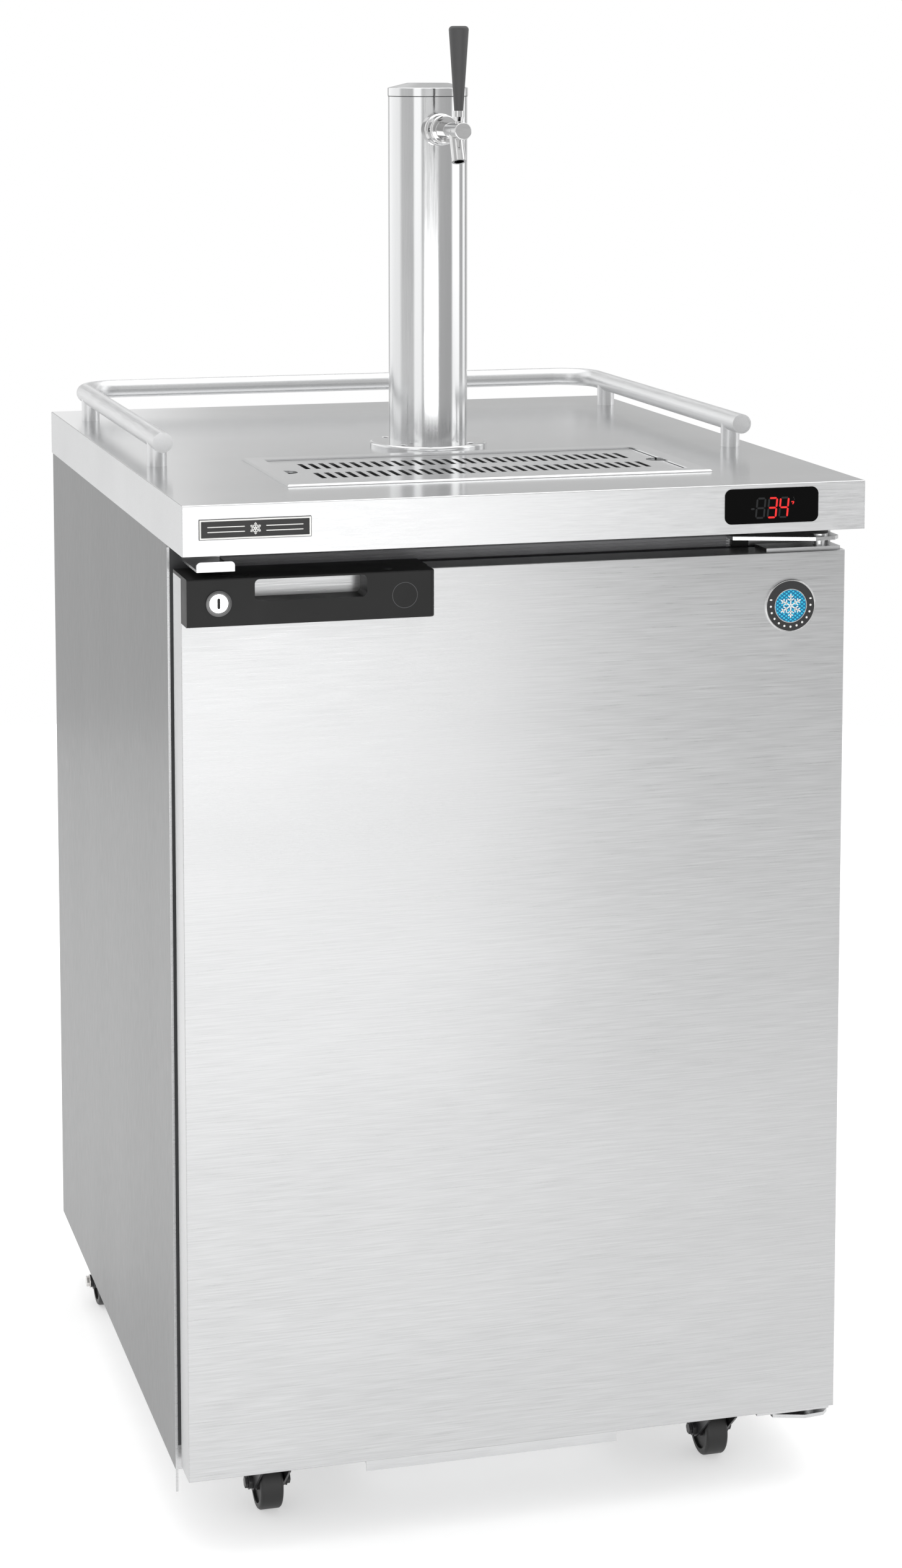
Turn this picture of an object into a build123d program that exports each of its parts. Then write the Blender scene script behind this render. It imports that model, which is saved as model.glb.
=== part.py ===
"""Direct-draw kegerator: insulated cabinet on casters, door, drip tray, rail and one-tap tower.

Millimetres.  The origin is on the floor under the middle of the overall box, +Z is up, +X is to
the right of someone facing the door, and the door side faces -Y.
"""

from build123d import *
from math import cos, radians, sin
import os

os.makedirs("parts", exist_ok=True)

# ---------------------------------------------------------------- driving sizes
counter_w, counter_d, counter_h = 610.0, 735.0, 934.0
counter_sheet = 1.2
skirt_h = 43.0
plate_proud = 1.0  # the name plate stands this far in front of the fascia

caster_rise = 15.5  # from the top of the wheels to the cabinet's underside
panel_sheet = 1.0
base_sheet = 2.0
base_upstand = 22.0
breaker_t = 6.0  # plastic strips round the door opening
breaker_lip = 1.2  # bent edge of the side panel in front of the strips

side_foam = 46.8
liner_t = 1.0
ceiling_foam = 45.0
floor_foam = 42.0
back_foam = 45.0
floor_sheet = 2.0
opening_top_lip = 52.0  # the top strip hangs this far below the ceiling liner
machine_d, machine_h = 175.0, 298.0
step_foam = 30.0
slab_gap = 0.2  # between butting foam slabs and butting strips

door_side_gap = 4.8
door_top_drop, door_bottom_gap = 66.4, 6.7  # below the counter, and above the cabinet's underside
door_setback = 33.0  # fascia front to door front
door_t = 35.0
door_sheet = 1.0
door_liner_t = 2.0
gasket_w, gasket_t, gasket_edge = 14.0, 8.7, 21.0
seal_gap = 0.3  # gasket to cabinet front

pin_inset, pin_setback = 24.0, 48.0  # from the counter's side and front edges
pin_r, pin_clearance = 5.0, 0.05
pin_reach = 12.0  # length of the pin inside the door
hinge_plate_t, hinge_gap = 3.2, 5.4

handle_w = 214.7
handle_drop = 104.3  # counter surface to handle underside
handle_proud = 26.0
handle_wall = 3.0
handle_cap = 3.0  # thickness of the cap over the door's top edge
window_inset, window_w, window_drop = 58.2, 97.0, 84.0  # from the door's left edge
lock_inset, lock_drop = 27.2, 84.5
lock_ring_r, lock_barrel_r, lock_plug_r = 10.7, 9.5, 8.0
key_w, key_h = 1.9, 7.5
cam_reach, cam_w, cam_t, cam_room = 28.6, 8.0, 2.5, 1.5
cam_setback = 13.3  # behind the handle's face

tray_setback, tray_lip = 90.0, 2.0
tray_rim_x, tray_rim_y = 18.0, 19.0  # rim beside and in front of the grate
grate_w, grate_d, grate_t = 354.0, 156.0, 2.0
grate_notch_r, grate_notch_y = 12.0, 3.0
grate_gap = 1.0
pan_ledge, pan_depth, pan_sheet = 6.0, 28.0, 1.2
slot_margin, slot_pitch, slot_l, slot_w, slot_row_gap = 21.0, 9.75, 37.0, 4.8, 64.5

rail_od, rail_wall, rail_h, rail_post_od = 18.5, 1.5, 24.5, 18.0
rail_inset, rail_back_inset, rail_start = 27.5, 21.0, 234.5
rail_bend = 40.0
post_from_end, post_back_inset = 31.5, 90.0  # behind the rail's end, and before the counter's back edge

tower_gap, tower_od, tower_wall, tower_h = 7.0, 75.0, 1.5, 333.6  # gap between the tray's lip and the flange
cap_proud, cap_band = 0.6, 7.4
dome_h, dome_slope = 4.6, 18.6  # shallow cone pressed into the cap, and how wide its slope is
flange_rim, flange_t, flange_screw_rim = 18.5, 5.0, 9.5  # beyond the column's face
tower_hole_rim = 7.5  # the hole under the column is this much smaller in radius
tap_drop = 31.1  # below the top of the column
shank_r, escutcheon_od, escutcheon_t = 8.0, 31.0, 12.0
nut_od, nut_t = 27.8, 13.0
tap_body_r, tap_bore_r, tap_reach = 7.5, 5.5, 87.0  # reach from the column's face to the tap's front
lever_reach, lever_r = 71.5, 3.2
spout_r, spout_bore_r, spout_tilt, spout_drop = 6.75, 4.6, 22.5, 28.0
grip_rise, tap_handle_h = 18.5, 77.0
grip_foot_r, grip_top_r = 4.2, 9.4

line_r, line_bore_r, line_bend, line_offset = 5.0, 3.0, 22.0, 17.0
barb_r = 4.0

wheel_r, wheel_w, wheel_bore_clearance = 25.4, 21.0, 0.06
caster_trail = 23.0
caster_front_inset, caster_front_setback = 93.0, 100.0  # from the counter's side and front edges
caster_rear_inset, caster_rear_back = 30.0, 126.0  # from the counter's side and back edges
axle_r, king_r, race_r = 4.0, 5.0, 19.0

pan_inset, pan_h, pan_d, pan_front = 185.0, 42.0, 280.0, 120.0
pan_drop, pan_flange, pan_flange_drop = 1.5, 4.0, 9.2  # below the base, and the side flanges it hangs by
runner_t, runner_gap = 2.0, 0.3

display_w, display_h, display_inset, display_drop, display_r = 87.0, 31.0, 88.0, 19.2, 6.4
plate_w, plate_h, plate_inset, plate_drop = 96.0, 17.4, 62.2, 20.8
badge_r, badge_t, badge_inset, badge_drop = 23.75, 2.0, 51.9, 114.5  # from the door's right edge
strike_inset, strike_w, strike_t, strike_lip = 9.3, 32.6, 2.0, 8.5  # from the door's left edge

# ---------------------------------------------------------------- places that follow
front = -(counter_d + plate_proud) / 2 + plate_proud
back = front + counter_d
top = counter_h
half_w = counter_w / 2
panel_x = half_w - counter_sheet
foam_x = panel_x - panel_sheet
inner_x = foam_x - side_foam - liner_t
cabinet_z0 = 2 * wheel_r + caster_rise
cab_front = front + door_setback + door_t + gasket_t + seal_gap
cab_back = back - counter_sheet
foam_back = cab_back - panel_sheet
under_sheet = top - counter_sheet
core_z0 = under_sheet - ceiling_foam
ceiling_z = core_z0 - liner_t
base_top = cabinet_z0 + base_sheet
floor_z0 = base_top + floor_foam
floor_z = floor_z0 + floor_sheet
inner_front = cab_front + breaker_t
inner_back = foam_back - back_foam - liner_t
machine_y = foam_back - machine_d
machine_top = base_top + machine_h
step_y = machine_y - step_foam - liner_t
step_z = machine_top + step_foam + liner_t

door_x = half_w - door_side_gap
door_y0 = front + door_setback
door_y1 = door_y0 + door_t
door_z0, door_z1 = cabinet_z0 + door_bottom_gap, top - door_top_drop
pin_x, pin_y = half_w - pin_inset, front + pin_setback
plate_z = door_z1 + hinge_plate_t + hinge_gap  # underside of the upper hinge bracket
foot_z = cabinet_z0  # upper face of the lower hinge bracket

handle_x0, handle_x1 = -door_x, -door_x + handle_w
window_x0 = -door_x + window_inset
window_x1 = window_x0 + window_w
lock_x = -door_x + lock_inset
handle_top = door_z1 + handle_cap
handle_y0 = door_y0 - handle_proud
handle_z0_door = top - handle_drop
lock_z = top - lock_drop
cam_y = handle_y0 + cam_setback

tray_w, tray_d = grate_w + 2 * tray_rim_x, grate_d + 2 * tray_rim_y
tray_y = front + tray_setback + tray_d / 2
well_w, well_d = grate_w + 2 * grate_gap, grate_d + 2 * grate_gap
well_cut_w, well_cut_d = well_w + 2 * pan_sheet, well_d + 2 * pan_sheet
tower_r = tower_od / 2
cap_r, flange_r, flange_pcd = tower_r + cap_proud, tower_r + flange_rim, tower_od + 2 * flange_screw_rim
tower_y = tray_y + tray_d / 2 + tower_gap + flange_r
tower_face, tower_hole_r = tower_y - tower_r, tower_r - tower_hole_rim
tap_z = top + tower_h - tap_drop
tap_front, lever_y = tower_face - tap_reach, tower_face - lever_reach
handle_z0 = tap_z + grip_rise
rail_x = half_w - rail_inset
rail_y = back - rail_back_inset
display_x, plate_x = half_w - display_inset, -half_w + plate_inset
badge_x = door_x - badge_inset
pan_w = counter_w - 2 * pan_inset
wheel_z = wheel_r


# ---------------------------------------------------------------- helpers
def block(x, y, z, mode=Mode.ADD):
    """Box between two values on each axis."""
    with Locations(((x[0] + x[1]) / 2, (y[0] + y[1]) / 2, (z[0] + z[1]) / 2)):
        Box(x[1] - x[0], y[1] - y[0], z[1] - z[0], mode=mode)


def post(x, y, z, radius, mode=Mode.ADD):
    """Upright cylinder at x, y between two heights."""
    with Locations((x, y, (z[0] + z[1]) / 2)):
        Cylinder(radius, z[1] - z[0], mode=mode)


def rod_y(x, y, z, radius, mode=Mode.ADD):
    """Cylinder along Y between two values of y."""
    with Locations(Location((x, (y[0] + y[1]) / 2, z), (90, 0, 0))):
        Cylinder(radius, y[1] - y[0], mode=mode)


def rod_x(x, y, z, radius, mode=Mode.ADD):
    """Cylinder along X between two values of x."""
    with Locations(Location(((x[0] + x[1]) / 2, y, z), (0, 90, 0))):
        Cylinder(radius, x[1] - x[0], mode=mode)


def save(builder, label):
    """Name a finished piece and write it."""
    builder.part.label = label
    export_step(builder.part, f"parts/{label}.step")


# ---------------------------------------------------------------- counter
with BuildPart() as counter_top:
    block((-half_w, half_w), (front, back), (top - skirt_h, top))
    outer_edges = counter_top.edges().filter_by(Axis.Z) + counter_top.faces().sort_by(Axis.Z)[-1].edges()
    fillet(outer_edges, counter_sheet * 0.95)
    block((-panel_x, panel_x), (front + counter_sheet, cab_back), (top - skirt_h, under_sheet), Mode.SUBTRACT)
    with Locations((0, tray_y, top)):
        Box(well_cut_w, well_cut_d, 4 * counter_sheet, mode=Mode.SUBTRACT)
    post(0, tower_y, (under_sheet, top), tower_hole_r, Mode.SUBTRACT)
    with BuildSketch(Plane.XZ.offset(-front)):
        with Locations((display_x, top - display_drop)):
            RectangleRounded(display_w, display_h, display_r)
    extrude(amount=counter_sheet, both=True, mode=Mode.SUBTRACT)
save(counter_top, "counter_top")

with BuildPart() as counter_core:
    block((-foam_x, foam_x), (inner_front, foam_back), (core_z0, under_sheet))
    with Locations((0, tray_y, top - pan_depth / 2)):
        Box(well_cut_w, well_cut_d, pan_depth, mode=Mode.SUBTRACT)
    post(0, tower_y, (core_z0, under_sheet), tower_hole_r, Mode.SUBTRACT)
save(counter_core, "counter_core")

# ---------------------------------------------------------------- cabinet skins
with BuildPart() as side_panels:
    for side in (-1, 1):
        outer, inner = side * panel_x, side * foam_x
        lip = side * (panel_x - panel_sheet - breaker_lip)
        block(sorted((outer, inner)), (cab_front, cab_back), (cabinet_z0, under_sheet))
        lip_y = (cab_front, cab_front + panel_sheet)
        block(sorted((inner, lip)), lip_y, (cabinet_z0 + base_upstand, under_sheet))
    front_edges = side_panels.edges().filter_by(Axis.Z).group_by(Axis.Y)[0].sort_by(Axis.X)
    fillet([front_edges[0], front_edges[-1]], panel_sheet * 0.9)
save(side_panels, "side_panels")

with BuildPart() as back_panel:
    block((-foam_x, foam_x), (foam_back, cab_back), (machine_top, under_sheet))
save(back_panel, "back_panel")

inlet_inset, inlet_rise, inlet_w, inlet_h, inlet_depth = 100.0, 43.7, 46.0, 30.0, 20.0
inlet_x, inlet_z = half_w - inlet_inset, cabinet_z0 + inlet_rise
louvre_rows, louvre_w, louvre_h, louvre_pitch_x, louvre_pitch_z = 9, 105.0, 7.0, 130.0, 18.0
louvre_z0 = inlet_z + 30
with BuildPart() as rear_grille:
    block((-foam_x, foam_x), (foam_back, cab_back), (base_top, machine_top))
    for column in (-1, 0, 1):
        for row in range(louvre_rows):
            x, z = column * louvre_pitch_x, louvre_z0 + row * louvre_pitch_z
            block(
                (x - louvre_w / 2, x + louvre_w / 2), (foam_back, cab_back), (z, z + louvre_h), Mode.SUBTRACT
            )
    block(
        (inlet_x - inlet_w / 2, inlet_x + inlet_w / 2),
        (foam_back, cab_back),
        (inlet_z - inlet_h / 2, inlet_z + inlet_h / 2),
        Mode.SUBTRACT,
    )
save(rear_grille, "rear_grille")

with BuildPart() as power_inlet:
    block(
        (inlet_x - inlet_w / 2, inlet_x + inlet_w / 2),
        (cab_back - inlet_depth, cab_back),
        (inlet_z - inlet_h / 2, inlet_z + inlet_h / 2),
    )
    block((inlet_x - 13, inlet_x + 13), (cab_back - 16, cab_back), (inlet_z - 9, inlet_z + 9), Mode.SUBTRACT)
    for dx, dz in ((-7, -2), (0, 3), (7, -2)):
        block(
            (inlet_x + dx - 1, inlet_x + dx + 1),
            (cab_back - 16, cab_back - 2),
            (inlet_z + dz - 2, inlet_z + dz + 2),
        )
save(power_inlet, "power_inlet")

with BuildPart() as base_frame:
    block((-foam_x, foam_x), (cab_front, cab_back), (cabinet_z0, base_top))
    block((-foam_x, foam_x), (cab_front, cab_front + base_sheet), (cabinet_z0, cabinet_z0 + base_upstand))
save(base_frame, "base_frame")

# ---------------------------------------------------------------- strips, liner and insulation
opening_top = ceiling_z - opening_top_lip
strip_z0 = cabinet_z0 + base_upstand
with BuildPart() as breaker_strips:
    upright, lip_y1 = (strip_z0, under_sheet), cab_front + panel_sheet
    for side in (-1, 1):
        lip = side * (foam_x - breaker_lip)
        block(sorted((side * inner_x, side * foam_x)), (lip_y1, inner_front), upright)
        block(sorted((side * inner_x, lip)), (cab_front, lip_y1), upright)
    between = (-inner_x + slab_gap, inner_x - slab_gap)
    block(between, (cab_front, inner_front), (strip_z0, floor_z))
    block(between, (cab_front, inner_front), (opening_top, under_sheet))
save(breaker_strips, "breaker_strips")

with BuildPart() as liner_panels:
    for side in (-1, 1):
        wall = sorted((side * inner_x, side * (inner_x + liner_t)))
        block(wall, (inner_front, foam_back), (base_top, core_z0))
    block((-inner_x, inner_x), (inner_front, inner_back + liner_t), (ceiling_z, core_z0))
    post(0, tower_y + line_offset, (ceiling_z, core_z0), line_r, Mode.SUBTRACT)
    block((-inner_x, inner_x), (inner_back, inner_back + liner_t), (step_z, ceiling_z))
    block((-inner_x, inner_x), (step_y, inner_back + liner_t), (step_z - liner_t, step_z))
    block((-inner_x, inner_x), (step_y, step_y + liner_t), (floor_z0, step_z - liner_t))
save(liner_panels, "liner_panels")

with BuildPart() as keg_floor:
    block((-inner_x, inner_x), (inner_front, step_y), (floor_z0, floor_z))
save(keg_floor, "keg_floor")

with BuildPart() as wall_insulation:
    for side in (-1, 1):
        wall = sorted((side * (inner_x + liner_t), side * foam_x))
        block(wall, (inner_front, foam_back), (base_top, core_z0))
    block((-inner_x, inner_x), (inner_front, step_y + liner_t), (base_top, floor_z0))
    riser = (step_y + liner_t + slab_gap, machine_y)
    block((-inner_x, inner_x), riser, (base_top, machine_top))
    block((-inner_x, inner_x), (riser[0], foam_back), (machine_top + slab_gap, step_z - liner_t))
    block((-inner_x, inner_x), (inner_back + liner_t, foam_back), (step_z - liner_t + slab_gap, core_z0))
save(wall_insulation, "wall_insulation")

# ---------------------------------------------------------------- refrigeration
evap_w, evap_d, evap_h, evap_sheet = 340.0, 128.0, 122.0, 1.5
evap_y = inner_back - evap_d
evap_z = ceiling_z - evap_h
evap_fan_z = evap_z + evap_h / 2
evap_fan_r, evap_hole_r = 50.0, 55.0
with BuildPart() as evaporator_cover:
    block((-evap_w / 2, evap_w / 2), (evap_y, inner_back), (evap_z, ceiling_z))
    block(
        (-evap_w / 2 + evap_sheet, evap_w / 2 - evap_sheet),
        (evap_y + evap_sheet, inner_back),
        (evap_z + evap_sheet, ceiling_z),
        Mode.SUBTRACT,
    )
    rod_y(0, (evap_y - 1, evap_y + 2 * evap_sheet), evap_fan_z, evap_hole_r, Mode.SUBTRACT)
    for side in (-1, 1):
        for row in range(6):
            z = evap_fan_z + 12 * (row - 2.5)
            slot_x = sorted((side * 80, side * 150))
            block(slot_x, (evap_y, evap_y + evap_sheet), (z - 2.5, z + 2.5), Mode.SUBTRACT)
save(evaporator_cover, "evaporator_cover")

coil_fin_t, coil_pitch = 1.0, 9.0


def finned_coil(x, y, z, rows):
    """Flat fins threaded on straight tubes, between two end plates."""
    count = int((x[1] - x[0] - 3 * coil_fin_t) / coil_pitch)
    for i in range(count + 1):
        fin = x[0] + coil_fin_t + i * coil_pitch
        block((fin, fin + coil_fin_t), y, z)
    for i in range(rows):
        rod_x(x, (y[0] + y[1]) / 2, z[0] + (i + 0.5) * (z[1] - z[0]) / rows, 4.0)


with BuildPart() as evaporator_coil:
    finned_coil((-150, 150), (inner_back - 36, inner_back), (evap_z + 14, ceiling_z - 14), 3)
save(evaporator_coil, "evaporator_coil")

cond_w, cond_d, cond_h, cond_inset = 160.0, 36.0, 200.0, 55.0
cond_x1 = inner_x - cond_inset
cond_x0 = cond_x1 - cond_w
cond_y0 = machine_y + 12
cond_fan_x, cond_fan_z, cond_fan_r = (cond_x0 + cond_x1) / 2, base_top + 110.0, 72.0
with BuildPart() as condenser_coil:
    finned_coil((cond_x0, cond_x1), (cond_y0, cond_y0 + cond_d), (base_top, base_top + cond_h), 6)
save(condenser_coil, "condenser_coil")

comp_inset, comp_r = 145.0, 62.0
comp_x, comp_y = -inner_x + comp_inset, machine_y + 90.0
with BuildPart() as compressor:
    block((comp_x - 80, comp_x + 80), (comp_y - 60, comp_y + 60), (base_top + 12, base_top + 15))
    for dx in (-65, 65):
        for dy in (-45, 45):
            post(comp_x + dx, comp_y + dy, (base_top, base_top + 12), 11)
    post(comp_x, comp_y, (base_top + 15, base_top + 150), comp_r)
    fillet(compressor.faces().sort_by(Axis.Z)[-1].edges(), 34)
    terminal_x = comp_x + comp_r
    block((terminal_x - 8, terminal_x + 22), (comp_y - 22, comp_y + 22), (base_top + 60, base_top + 110))
save(compressor, "compressor")

motor_r, shaft_r, fan_clearance = 22.0, 4.0, 0.05
cond_fan_y = cond_y0 + cond_d + 14
evap_fan_y = evap_y + 20
fan_hub_t = 16.0
with BuildPart() as fan_motors:
    rod_y(cond_fan_x, (cond_fan_y + fan_hub_t + 6, cond_fan_y + fan_hub_t + 46), cond_fan_z, motor_r)
    rod_y(cond_fan_x, (cond_fan_y, cond_fan_y + fan_hub_t + 6), cond_fan_z, shaft_r)
    block(
        (cond_fan_x - 15, cond_fan_x + 15),
        (cond_fan_y + fan_hub_t + 40, cond_fan_y + fan_hub_t + 43),
        (base_top, cond_fan_z),
    )
    block(
        (cond_fan_x - 15, cond_fan_x + 15),
        (cond_fan_y + fan_hub_t + 20, cond_fan_y + fan_hub_t + 43),
        (base_top, base_top + 3),
    )
    rod_y(0, (evap_fan_y + fan_hub_t + 4, evap_fan_y + fan_hub_t + 34), evap_fan_z, motor_r)
    rod_y(0, (evap_fan_y, evap_fan_y + fan_hub_t + 4), evap_fan_z, shaft_r)
    block(
        (-evap_w / 2 + evap_sheet, evap_w / 2 - evap_sheet),
        (evap_fan_y + fan_hub_t + 24, evap_fan_y + fan_hub_t + 27),
        (evap_fan_z - 7, evap_fan_z + 7),
    )
save(fan_motors, "fan_motors")


def fan(label, x, y, z, radius, blades):
    """Axial fan on a motor shaft: a bored hub with pitched blades."""
    with BuildPart() as rotor:
        rod_y(x, (y, y + fan_hub_t), z, 13)
        for i in range(blades):
            turn = Location((x, y + fan_hub_t / 2, z), (0, 360 / blades * i, 0))
            with Locations(turn * Location(((radius + 10) / 2, 0, 0), (24, 0, 0))):
                Box(radius - 10, 1.6, 28)
        rod_y(x, (y - 20, y + 20), z, shaft_r + fan_clearance, Mode.SUBTRACT)
    save(rotor, label)


fan("condenser_fan", cond_fan_x, cond_fan_y, cond_fan_z, cond_fan_r, 5)
fan("evaporator_fan", 0, evap_fan_y, evap_fan_z, evap_fan_r, 5)

# ---------------------------------------------------------------- fascia pieces
with BuildPart() as display_window:
    with BuildSketch(Plane.XZ.offset(-front)):
        with Locations((display_x, top - display_drop)):
            RectangleRounded(display_w, display_h, display_r)
    extrude(amount=-2.4)
    extrude(display_window.faces().sort_by(Axis.Y)[0], amount=plate_proud / 2)
save(display_window, "display_window")

control_w, control_d = 130.0, 55.0
with BuildPart() as control_housing:
    block(
        (display_x - control_w / 2, display_x + control_w / 2),
        (front + 2.4, front + 2.4 + control_d),
        (top - skirt_h + 2, under_sheet),
    )
    fillet(control_housing.edges().filter_by(Axis.Z), 4)
save(control_housing, "control_housing")

with BuildPart() as name_plate:
    with BuildSketch(Plane.XZ.offset(-front)):
        with Locations((plate_x, top - plate_drop)):
            RectangleRounded(plate_w, plate_h, 0.8)
    extrude(amount=plate_proud)
save(name_plate, "name_plate")

# ---------------------------------------------------------------- rail
rail_z = top + rail_h
with BuildPart() as rail_tube:
    with BuildLine():
        FilletPolyline(
            (-rail_x, front + rail_start, rail_z),
            (-rail_x, rail_y, rail_z),
            (rail_x, rail_y, rail_z),
            (rail_x, front + rail_start, rail_z),
            radius=rail_bend,
        )
    with BuildSketch(Plane.XZ.offset(-(front + rail_start))):
        with Locations((-rail_x, rail_z)):
            Circle(rail_od / 2)
            Circle(rail_od / 2 - rail_wall, mode=Mode.SUBTRACT)
    sweep()
save(rail_tube, "rail_tube")

with BuildPart() as rail_posts:
    for x in (-rail_x, rail_x):
        for y in (front + rail_start + post_from_end, back - post_back_inset):
            post(x, y, (top, rail_z), rail_post_od / 2)
        rod_y(x, (front + rail_start, rail_y - rail_bend), rail_z, rail_od / 2, Mode.SUBTRACT)
save(rail_posts, "rail_posts")

with BuildPart() as rail_end_caps:
    for x in (-rail_x, rail_x):
        rod_y(x, (front + rail_start + 0.4, front + rail_start + 12), rail_z, rail_od / 2 - rail_wall)
save(rail_end_caps, "rail_end_caps")

# ---------------------------------------------------------------- tower
with BuildPart() as tower_column:
    post(0, tower_y, (top, top + tower_h), tower_r)
    post(0, tower_y, (top, top + tower_h), tower_r - tower_wall, Mode.SUBTRACT)
    rod_y(0, (tower_y - tower_od, tower_y), tap_z, shank_r, Mode.SUBTRACT)
save(tower_column, "tower_column")

with BuildPart() as tower_cap:
    post(0, tower_y, (top + tower_h, top + tower_h + cap_band), cap_r)
    with Locations((0, tower_y, top + tower_h + cap_band)):
        Cone(cap_r, cap_r - dome_slope, dome_h, align=(Align.CENTER, Align.CENTER, Align.MIN))
    dome_edges = tower_cap.edges().filter_by(GeomType.CIRCLE).sort_by(Axis.Z)
    fillet(dome_edges[-1], 4)
    fillet(dome_edges[-2], 0.8)
    post(0, tower_y, (top + tower_h - 10, top + tower_h), tower_r - tower_wall)
save(tower_cap, "tower_cap")

with BuildPart() as tower_flange:
    post(0, tower_y, (top, top + flange_t), flange_r)
    fillet(tower_flange.faces().sort_by(Axis.Z)[-1].edges(), 2.5)
    post(0, tower_y, (top, top + flange_t), tower_r, Mode.SUBTRACT)
    with Locations((0, tower_y, top + flange_t)):
        with PolarLocations(flange_pcd / 2, 4, start_angle=45):
            CounterSinkHole(2.4, 4.6)
save(tower_flange, "tower_flange")

with BuildPart() as tower_screws:
    with Locations((0, tower_y, top)):
        with PolarLocations(flange_pcd / 2, 4, start_angle=45):
            Cylinder(2.3, flange_t - 1, align=(Align.CENTER, Align.CENTER, Align.MIN))
            with Locations((0, 0, flange_t - 2.2)):
                Cone(2.3, 4.3, 2, align=(Align.CENTER, Align.CENTER, Align.MIN))
save(tower_screws, "tower_screws")

# ---------------------------------------------------------------- tap
escutcheon_y = tower_face - escutcheon_t
nut_y = escutcheon_y - nut_t
with BuildPart() as faucet_shank:
    rod_y(0, (nut_y + 3, tower_y - 10), tap_z, shank_r)
    rod_y(0, (tower_face + 5, tower_face + 12), tap_z, 13)
    rod_y(0, (nut_y, tower_y), tap_z, line_bore_r, Mode.SUBTRACT)
save(faucet_shank, "faucet_shank")

with BuildPart() as faucet_escutcheon:
    rod_y(0, (escutcheon_y, tower_face + 5), tap_z, escutcheon_od / 2)
    fillet(faucet_escutcheon.faces().sort_by(Axis.Y)[0].edges(), 4)
    post(0, tower_y, (tap_z - 30, tap_z + 30), tower_r, Mode.SUBTRACT)
    rod_y(0, (escutcheon_y, tower_y), tap_z, shank_r, Mode.SUBTRACT)
save(faucet_escutcheon, "faucet_escutcheon")

with BuildPart() as coupling_nut:
    rod_y(0, (nut_y, escutcheon_y), tap_z, nut_od / 2)
    fillet(coupling_nut.faces().sort_by(Axis.Y)[0].edges(), 2.5)
    rod_y(0, (nut_y, escutcheon_y), tap_z, shank_r, Mode.SUBTRACT)
    with Locations(Location((0, (nut_y + escutcheon_y) / 2, tap_z), (90, 0, 0))):
        with PolarLocations(nut_od / 2, 6):
            Cylinder(1.6, nut_t - 6, mode=Mode.SUBTRACT)
save(coupling_nut, "coupling_nut")

slot_front, slot_back = lever_y - 9.8, lever_y + 3.8
with BuildPart() as faucet_body:
    rod_y(0, (tap_front, nut_y + 3), tap_z, tap_body_r)
    rod_y(0, (nut_y - 8, nut_y), tap_z, tap_body_r + 3)
    rod_y(0, (tap_front, tap_front + 3.5), tap_z, tap_body_r + 0.5)
    fillet(faucet_body.faces().sort_by(Axis.Y)[0].edges(), 1)
    tilt = radians(spout_tilt)
    spout_axis = Plane((0, lever_y + 10, tap_z), (1, 0, 0), (0, -sin(tilt), -cos(tilt)))
    with BuildSketch(spout_axis):
        Circle(spout_r)
    extrude(amount=spout_drop / cos(tilt))
    with BuildSketch(spout_axis.offset(2)):
        Circle(spout_bore_r)
    extrude(amount=spout_drop * 2, mode=Mode.SUBTRACT)
    rod_y(0, (tap_front + 3.5, lever_y + 24), tap_z, tap_bore_r, Mode.SUBTRACT)
    block((-3.7, 3.7), (slot_front, slot_back), (tap_z, tap_z + 20), Mode.SUBTRACT)
    rod_x((-20, 20), lever_y, tap_z, 1.55, Mode.SUBTRACT)
save(faucet_body, "faucet_body")

with BuildPart() as tap_lever:
    post(0, lever_y, (tap_z, handle_z0 + 8), lever_r)
    with Locations((0, lever_y, tap_z)):
        Sphere(4.2)
    rod_x((-7, 7), lever_y, tap_z, 1.5)
    with Locations((0, lever_y, tap_z + 9)):
        Cone(lever_r, 5, 4, align=(Align.CENTER, Align.CENTER, Align.MIN))
    post(0, lever_y, (tap_z + 13, handle_z0), 5)
save(tap_lever, "tap_lever")

with BuildPart() as tap_handle:
    with Locations((0, lever_y, handle_z0)):
        Cone(grip_foot_r, grip_top_r, tap_handle_h, align=(Align.CENTER, Align.CENTER, Align.MIN))
    fillet(tap_handle.faces().sort_by(Axis.Z)[-1].edges(), 3.5)
    post(0, lever_y, (handle_z0, handle_z0 + 8), lever_r, Mode.SUBTRACT)
save(tap_handle, "tap_handle")

# ---------------------------------------------------------------- beer line
line_y = tower_y + line_offset
fitting_top = core_z0 + 12
with BuildPart() as beer_line:
    with BuildLine():
        FilletPolyline(
            (0, tower_y - 10, tap_z), (0, line_y, tap_z), (0, line_y, fitting_top), radius=line_bend
        )
    with BuildSketch(Plane.XZ.offset(-(tower_y - 10))):
        with Locations((0, tap_z)):
            Circle(line_r)
            Circle(line_bore_r, mode=Mode.SUBTRACT)
    sweep()
save(beer_line, "beer_line")

with BuildPart() as line_fitting:
    post(0, line_y, (ceiling_z - 3, ceiling_z), 12)
    post(0, line_y, (ceiling_z - 22, ceiling_z - 3), barb_r)
    post(0, line_y, (ceiling_z, fitting_top), line_r)
    post(0, line_y, (ceiling_z - 22, fitting_top), line_bore_r - 0.5, Mode.SUBTRACT)
save(line_fitting, "line_fitting")

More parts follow.
